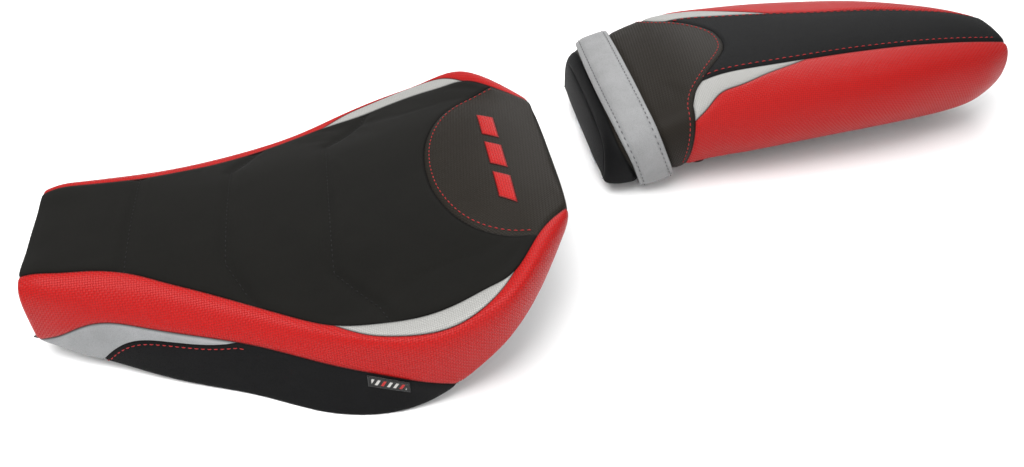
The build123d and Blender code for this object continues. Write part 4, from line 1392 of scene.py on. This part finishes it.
def strap_middle(t):
    """Where the strap's middle line lies on each lap: it leans forward as it rises.

    s = foot - lean x height, found by going round four times from a first guess of 40 mm.
    """
    s = np.full(np.shape(t), 0.040)
    for _ in range(4):
        height = PILLION.at(s, t)[..., 2] - PILLION.base_z
        s = STRAP_FOOT - height * STRAP_LEAN
    return s


class SEAT_OT_pillion_covers(bpy.types.Operator):
    """Makes the pillion seat's front, wrap, strip, inserts and sides"""

    bl_idname = "seat.pillion_covers"
    bl_label = "Pillion covers"

    def execute(self, context):
        sew = context.scene.seat_sewing
        front, wrap, strip, insert, side = pillion_panels()
        nose_cap = EndCap(PILLION, True, 0.004, seams="")
        tail_cap = EndCap(PILLION, False, 0.003, 0.008)
        for panel in (front, wrap):
            sewn_relief(panel, sew.seam_pull, sew.swell * 0.6)
            panel.lift *= np.clip(panel.s / 0.008, 0, 1)
            under = np.abs(panel.s - strap_middle(panel.t))
            panel.lift -= 0.0011 * np.clip((0.0205 - under) / 0.004, 0, 1)
        for panel in (strip, insert, side):
            sewn_relief(panel, sew.seam_pull, sew.swell)
        sewn_relief(tail_cap, sew.seam_pull * 0.7, 0.0)
        for panel in (front, wrap, strip, insert, side):
            settle(panel)
        right_insert, right_side = mirrored(insert), mirrored(side)
        right_insert.lift, right_side.lift = insert.lift, side.lift
        body = "pillion_seat"
        black, ribs = finish_of(context, "black grain"), finish_of(context, "ribbed")
        red, silver = finish_of(context, "red"), finish_of(context, "silver weave")
        panel_piece("pillion_front_cover", [front, nose_cap], black, body,
                    ["pillion_front_panel"])
        panel_piece("pillion_wrap_cover", [wrap], ribs, body,
                    ["pillion_wrap_panel"])
        panel_piece("pillion_strip_cover", [strip, tail_cap], black, body,
                    ["pillion_centre_strip"])
        panel_piece("pillion_side_left_cover", [side], red, body,
                    ["pillion_side_left"])
        panel_piece("pillion_side_right_cover", [right_side], red, body,
                    ["pillion_side_right"])
        panel_piece("pillion_insert_left_cover", [insert], silver, body,
                    ["pillion_insert_left"])
        panel_piece("pillion_insert_right_cover", [right_insert], silver, body,
                    ["pillion_insert_right"])
        return {"FINISHED"}


class SEAT_OT_grab_strap(bpy.types.Operator):
    """Makes the padded grab strap over the pillion seat, with its two rows of stitches"""

    bl_idname = "seat.grab_strap"
    bl_label = "Grab strap"

    WIDTH, THICK, CLEAR = 0.0325, 0.0062, 0.0004
    ROW_AT = 0.0125  # from the middle line to each row of stitches
    GROOVE, GROOVE_REACH = 0.0007, 0.0013  # depth and half width of the groove of a row
    CROWN = 0.0006

    def execute(self, context):
        """A rounded, crowned profile carried along the lap, standing off the form by its height.

        Round the profile at angle q the place across is half the width times |cos q|^0.6 with
        its sign, and the height is the clearance plus half the thickness times
        (1 + sin q |sin q|^-0.4), a little lower along the two stitch rows.
        """
        t = np.linspace(-2, 2, 241)
        q = np.linspace(0, 2 * np.pi, 56, endpoint=False)
        across = self.WIDTH / 2 * np.sign(np.cos(q)) * np.abs(np.cos(q)) ** 0.6
        rise = np.sign(np.sin(q)) * np.abs(np.sin(q)) ** 0.6
        height = self.CLEAR + self.THICK / 2 * (1 + rise)
        top = np.sin(q) > 0
        from_row = np.abs(across) - self.ROW_AT
        dip = self.GROOVE * np.exp(-(from_row / self.GROOVE_REACH) ** 2)
        crown = self.CROWN * (1 - (across / (self.WIDTH / 2)) ** 2)
        height = np.where(top, height - dip + crown - self.CROWN, height)
        middle = strap_middle(t)
        s = middle[:, None] + across[None]
        lap = t[:, None] + 0 * s
        points = PILLION.at(s, lap) + PILLION.normal(s, lap) * height[None, :, None]
        run = PILLION.read(PILLION.lap, s, lap) * np.sign(lap)
        uv = np.stack([np.broadcast_to(across, s.shape), run], -1)
        piece = tube_piece("grab_strap_cover", points, uv)
        piece.data.materials.append(finish_of(context, "strap"))
        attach(piece, "pillion_seat")
        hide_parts("grab_strap")

        t = np.linspace(-1.25, 1.25, 500)
        pair = np.zeros((1, 2))
        strip = Panel(PILLION, strap_middle(t)[:, None] + pair, t[:, None] + pair)
        strip.lift += self.CLEAR + self.THICK - self.GROOVE
        runs = [
            walk(strip, strap_middle(t), t, offset, pitch=0.0052, length=0.0030)
            for offset in (-self.ROW_AT, self.ROW_AT)
        ]
        stitch_mesh("grab_strap_stitches", runs, context.scene.seat_sewing.thread_radius,
                    finish_of(context, "grey thread"), "pillion_seat")
        return {"FINISHED"}


def outward_share(mesh):
    """The signed volume of a closed mesh, above 0 when its faces point outwards."""
    mesh.calc_loop_triangles()
    points = np.zeros(len(mesh.vertices) * 3, np.float32)
    mesh.vertices.foreach_get("co", points)
    corners = np.zeros(len(mesh.loop_triangles) * 3, np.int32)
    mesh.loop_triangles.foreach_get("vertices", corners)
    a, b, c = points.reshape(-1, 3)[corners.reshape(-1, 3)].transpose(1, 0, 2)
    return float((np.cross(a, b) * c).sum())


class SEAT_OT_topstitching(bpy.types.Operator):
    """Sews the red topstitching beside the seams and the dark rows in the rider's channels"""

    bl_idname = "seat.topstitching"
    bl_label = "Topstitching"

    STITCH, CHANNEL_STITCH, PILLION_STITCH = 0.0032, 0.0030, 0.0042  # lengths of a stitch
    SIDE_ROW_ENDS = 0.163
    ROW_END_GAP = 0.006  # from a channel's end to its first stitch
    TAIL_GAP = 0.012

    def execute(self, context):
        sew = context.scene.seat_sewing
        inset, pitch = sew.stitch_inset, sew.rider_pitch
        red, black = finish_of(context, "red thread"), finish_of(context, "black thread")
        hump, centre = PANELS["rider_hump_cover"][0], PANELS["rider_centre_cover"][0]
        a = np.linspace(-0.985, 0.985, 600)
        cut = hump_line(a)
        rows = [walk(hump, cut, a * rider_top_lap(cut), inset, pitch, self.STITCH)]
        for side, sign in (("left", -1), ("right", 1)):
            panel = PANELS["rider_lower_side_" + side + "_cover"][0]
            s, t = panel.s[:, 0], panel.t[:, 0]
            ahead = s < self.SIDE_ROW_ENDS
            rows.append(walk(panel, s[ahead], t[ahead], sign * inset * 0.8, pitch, self.STITCH))
        stitch_mesh("rider_red_stitches", rows, sew.thread_radius, red, "rider_seat")

        rows = []
        for path in CHANNELS:
            half = np.array(path)
            s, y = half[:, 0], half[:, 1]
            whole_s = np.concatenate([s[::-1], s[1:]])
            whole_y = np.concatenate([-y[::-1], y[1:]])
            along = np.concatenate([[0], np.cumsum(np.hypot(np.diff(whole_s), np.diff(whole_y)))])
            here = np.linspace(self.ROW_END_GAP, along[-1] - self.ROW_END_GAP, 500)
            s, y = np.interp(here, along, whole_s), np.interp(here, along, whole_y)
            t = np.sign(y) * RIDER.lap_at_width(s, np.abs(y) / MM / RIDER.scale[1])
            rows.append(walk(centre, s, t, 0.0, pitch, self.CHANNEL_STITCH))
        stitch_mesh("rider_channel_stitches", rows, sew.thread_radius, black, "rider_seat")

        wrap, strip = PANELS["pillion_wrap_cover"][0], PANELS["pillion_strip_cover"][0]
        t = np.linspace(-0.97, 0.97, 700)
        ahead, behind = (
            pillion_line(t, PILLION_FRONT_SEAM, False), pillion_line(t, PILLION_WRAP_REAR, True)
        )
        rows = [
            walk(wrap, ahead, t, inset, pitch, self.STITCH),
            walk(wrap, behind, t, -inset, pitch, self.STITCH),
        ]
        for column, sign in ((0, -1), (-1, 1)):
            s, t = strip.s[:, column], strip.t[:, column]
            kept = s < PILLION.length - self.TAIL_GAP
            rows.append(walk(strip, s[kept], t[kept], sign * inset, sew.pillion_pitch,
                             self.PILLION_STITCH))
        stitch_mesh("pillion_red_stitches", rows, sew.thread_radius * 1.1, red, "pillion_seat")
        return {"FINISHED"}


def laid_patch(panel, s, y, lift):
    """A grid of places (s, y) on the rider seat, standing off the panel there by lift."""
    t = np.sign(y + 1e-9) * RIDER.lap_at_width(s, np.abs(y) / MM / RIDER.scale[1])
    patch = Panel(RIDER, s, t)
    patch.lift = lift + lift_at(panel, patch.points.reshape(-1, 3)).reshape(s.shape)
    return patch


class SEAT_OT_trim(bpy.types.Operator):
    """Makes the woven tag under the band and the raised bars on the ribbed panel"""

    bl_idname = "seat.trim"
    bl_label = "Tag and bars"

    TAG = (0.2435, 0.0290, 0.0085)  # distance back of its front end, length and height
    TAG_OFF, TAG_DROP, TAG_THICK = 0.0011, 0.0012, 0.0007
    BAR = (0.031, 0.013, 0.010)  # length across the seat, width and slant
    BAR_BACK, BAR_MIDDLES = 0.3615, (-0.035, 0.006, 0.047)
    BAR_OFF, BAR_PUFF, BAR_THICK = 0.0003, 0.0009, 0.0008

    def execute(self, context):
        """Each bar stands off by an edge height and a puff of (1 - x^6)(1 - z^6) over its sides.

        The tag is a strip that hangs from the band's lower seam, just off the side panel.
        """
        u, v = np.meshgrid(np.linspace(0, 1, 40), np.linspace(0, 1, 18), indexing="ij")
        puff = (1 - (2 * u - 1) ** 6) * (1 - (2 * v - 1) ** 6)
        hump = PANELS["rider_hump_cover"][0]
        length, width, slant = self.BAR
        bars = []
        for middle in self.BAR_MIDDLES:
            y = middle + (u - 0.5) * length + (v - 0.5) * slant
            s = self.BAR_BACK + (v - 0.5) * width
            bars.append(laid_patch(hump, s, y, self.BAR_OFF + self.BAR_PUFF * puff))
        panel_piece(
            "rider_hump_bars", bars, finish_of(context, "red"), "rider_seat", [],
            self.BAR_THICK,
        )

        start, long, tall = self.TAG
        s = start + u * long
        drop = self.TAG_DROP + v * tall
        lap = RIDER.read(RIDER.lap, s, np.ones_like(s))
        side = PANELS["rider_lower_side_left_cover"][0]
        tag = Panel(RIDER, s, rider_band_lap(s[:, 0])[:, None] + drop / lap)
        tag.uv = np.stack([u * long, v * tall], -1)
        tag.lift = self.TAG_OFF + lift_at(side, tag.points.reshape(-1, 3)).reshape(s.shape)
        tag.lift = np.maximum(tag.lift, self.TAG_OFF)
        panel_piece(
            "rider_label_tag_woven", [tag], finish_of(context, "woven tag"), "rider_seat",
            ["rider_label_tag"], self.TAG_THICK,
        )
        return {"FINISHED"}


class SEAT_OT_hardware(bpy.types.Operator):
    """Gives the pans, foam, rubber and metal parts their finishes"""

    bl_idname = "seat.hardware"
    bl_label = "Hardware finishes"

    def execute(self, context):
        for part in frame["record"]["subparts"]:
            if part["material_slot"] in HARD_FINISHES:
                for socket in frame["nodes"][part["node"]].material_slots:
                    socket.material = finish_of(context, part["material_slot"])
        return {"FINISHED"}


class SEAT_OT_stage(bpy.types.Operator):
    """Makes the pale floor, the soft studio light and the camera"""

    bl_idname = "seat.stage"
    bl_label = "Stage"

    HALF_FLOOR, FLOOR_UNDER = 4.0, 0.0002
    LIGHTS = [  # name, place, size and power, each aimed at the middle of the seats
        ("key", (0.55, 0.35, 1.5), 1.3, 34.0),
        ("back", (-0.5, -1.3, 1.1), 1.2, 16.0),
        ("fill", (-0.2, 1.5, 0.9), 1.4, 10.0),
    ]
    LIT_AT = (0.0, 0.0, 0.05)
    CAMERA_FROM_NOSE = (-0.260, 0.6348, 0.5576)  # from the rider's nose, on the floor
    CAMERA_AHEAD = (-0.1373, -0.7536, -0.6428)
    LENS = 34.64

    def execute(self, context):
        points = self.HALF_FLOOR * np.array([[-1, -1, 0], [1, -1, 0], [1, 1, 0], [-1, 1, 0]], float)
        points[:, 2] = FLOOR - self.FLOOR_UNDER
        floor = new_piece("floor", points, [[0, 1, 2, 3]], smooth=False)
        white = Finish("floor white", 0.9, Specular_IOR_Level=0.1)
        cloud = white.noise(3.0, 2.0)
        white.paint(white.blend(cloud, (0.93, 0.93, 0.93), (0.96, 0.96, 0.96)))
        floor.data.materials.append(white.material)

        world = bpy.data.worlds.new("studio")
        world.use_nodes = True
        back = world.node_tree.nodes["Background"]
        back.inputs["Color"].default_value = (1.0, 1.0, 1.0, 1.0)
        back.inputs["Strength"].default_value = 0.50
        context.scene.world = world
        for name, place, size, power in self.LIGHTS:
            lamp = bpy.data.lights.new(name, "AREA")
            lamp.energy, lamp.size = power, size
            made = bpy.data.objects.new(name, lamp)
            made.location = place
            facing = Vector(self.LIT_AT) - Vector(place)
            made.rotation_euler = facing.to_track_quat("-Z", "Y").to_euler()
            context.scene.collection.objects.link(made)
        context.scene.view_settings.view_transform = "Standard"

        lens = bpy.data.cameras.new("camera")
        lens.sensor_width, lens.lens = 36.0, self.LENS
        lens.clip_start, lens.clip_end = 0.01, 20.0
        camera = bpy.data.objects.new("camera", lens)
        nose = Vector((RIDER.nose_x, RIDER.centre_y, FLOOR))
        camera.location = nose + Vector(self.CAMERA_FROM_NOSE)
        camera.rotation_euler = Vector(self.CAMERA_AHEAD).to_track_quat("-Z", "Y").to_euler()
        context.scene.collection.objects.link(camera)
        context.scene.camera = camera
        return {"FINISHED"}


class SEAT_PT_steps(bpy.types.Panel):
    """Lists the building steps and the sizes and colours behind them"""

    bl_idname = "SEAT_PT_steps"
    bl_label = "Motorcycle Seat Set"
    bl_space_type = "VIEW_3D"
    bl_region_type = "UI"
    bl_category = "Seat"

    def draw(self, context):
        for group in (context.scene.seat_look, context.scene.seat_sewing):
            for name in group.__annotations__:
                self.layout.prop(group, name)
        for step in STEPS:
            self.layout.operator(step.bl_idname)


STEPS = (
    SEAT_OT_rider_top, SEAT_OT_rider_sides, SEAT_OT_pillion_covers, SEAT_OT_grab_strap,
    SEAT_OT_topstitching, SEAT_OT_trim, SEAT_OT_hardware, SEAT_OT_stage,
)
CLASSES = (SeatLook, SeatSewing, *STEPS, SEAT_PT_steps)


def register():
    for one in CLASSES:
        bpy.utils.register_class(one)
    bpy.types.Scene.seat_look = PointerProperty(type=SeatLook)
    bpy.types.Scene.seat_sewing = PointerProperty(type=SeatSewing)


def unregister():
    del bpy.types.Scene.seat_sewing
    del bpy.types.Scene.seat_look
    for one in reversed(CLASSES):
        bpy.utils.unregister_class(one)


def main():
    """Runs every building step in order."""
    register()
    for step in STEPS:
        group, name = step.bl_idname.split(".")
        getattr(getattr(bpy.ops, group), name)()


if __name__ == "__main__":
    main()
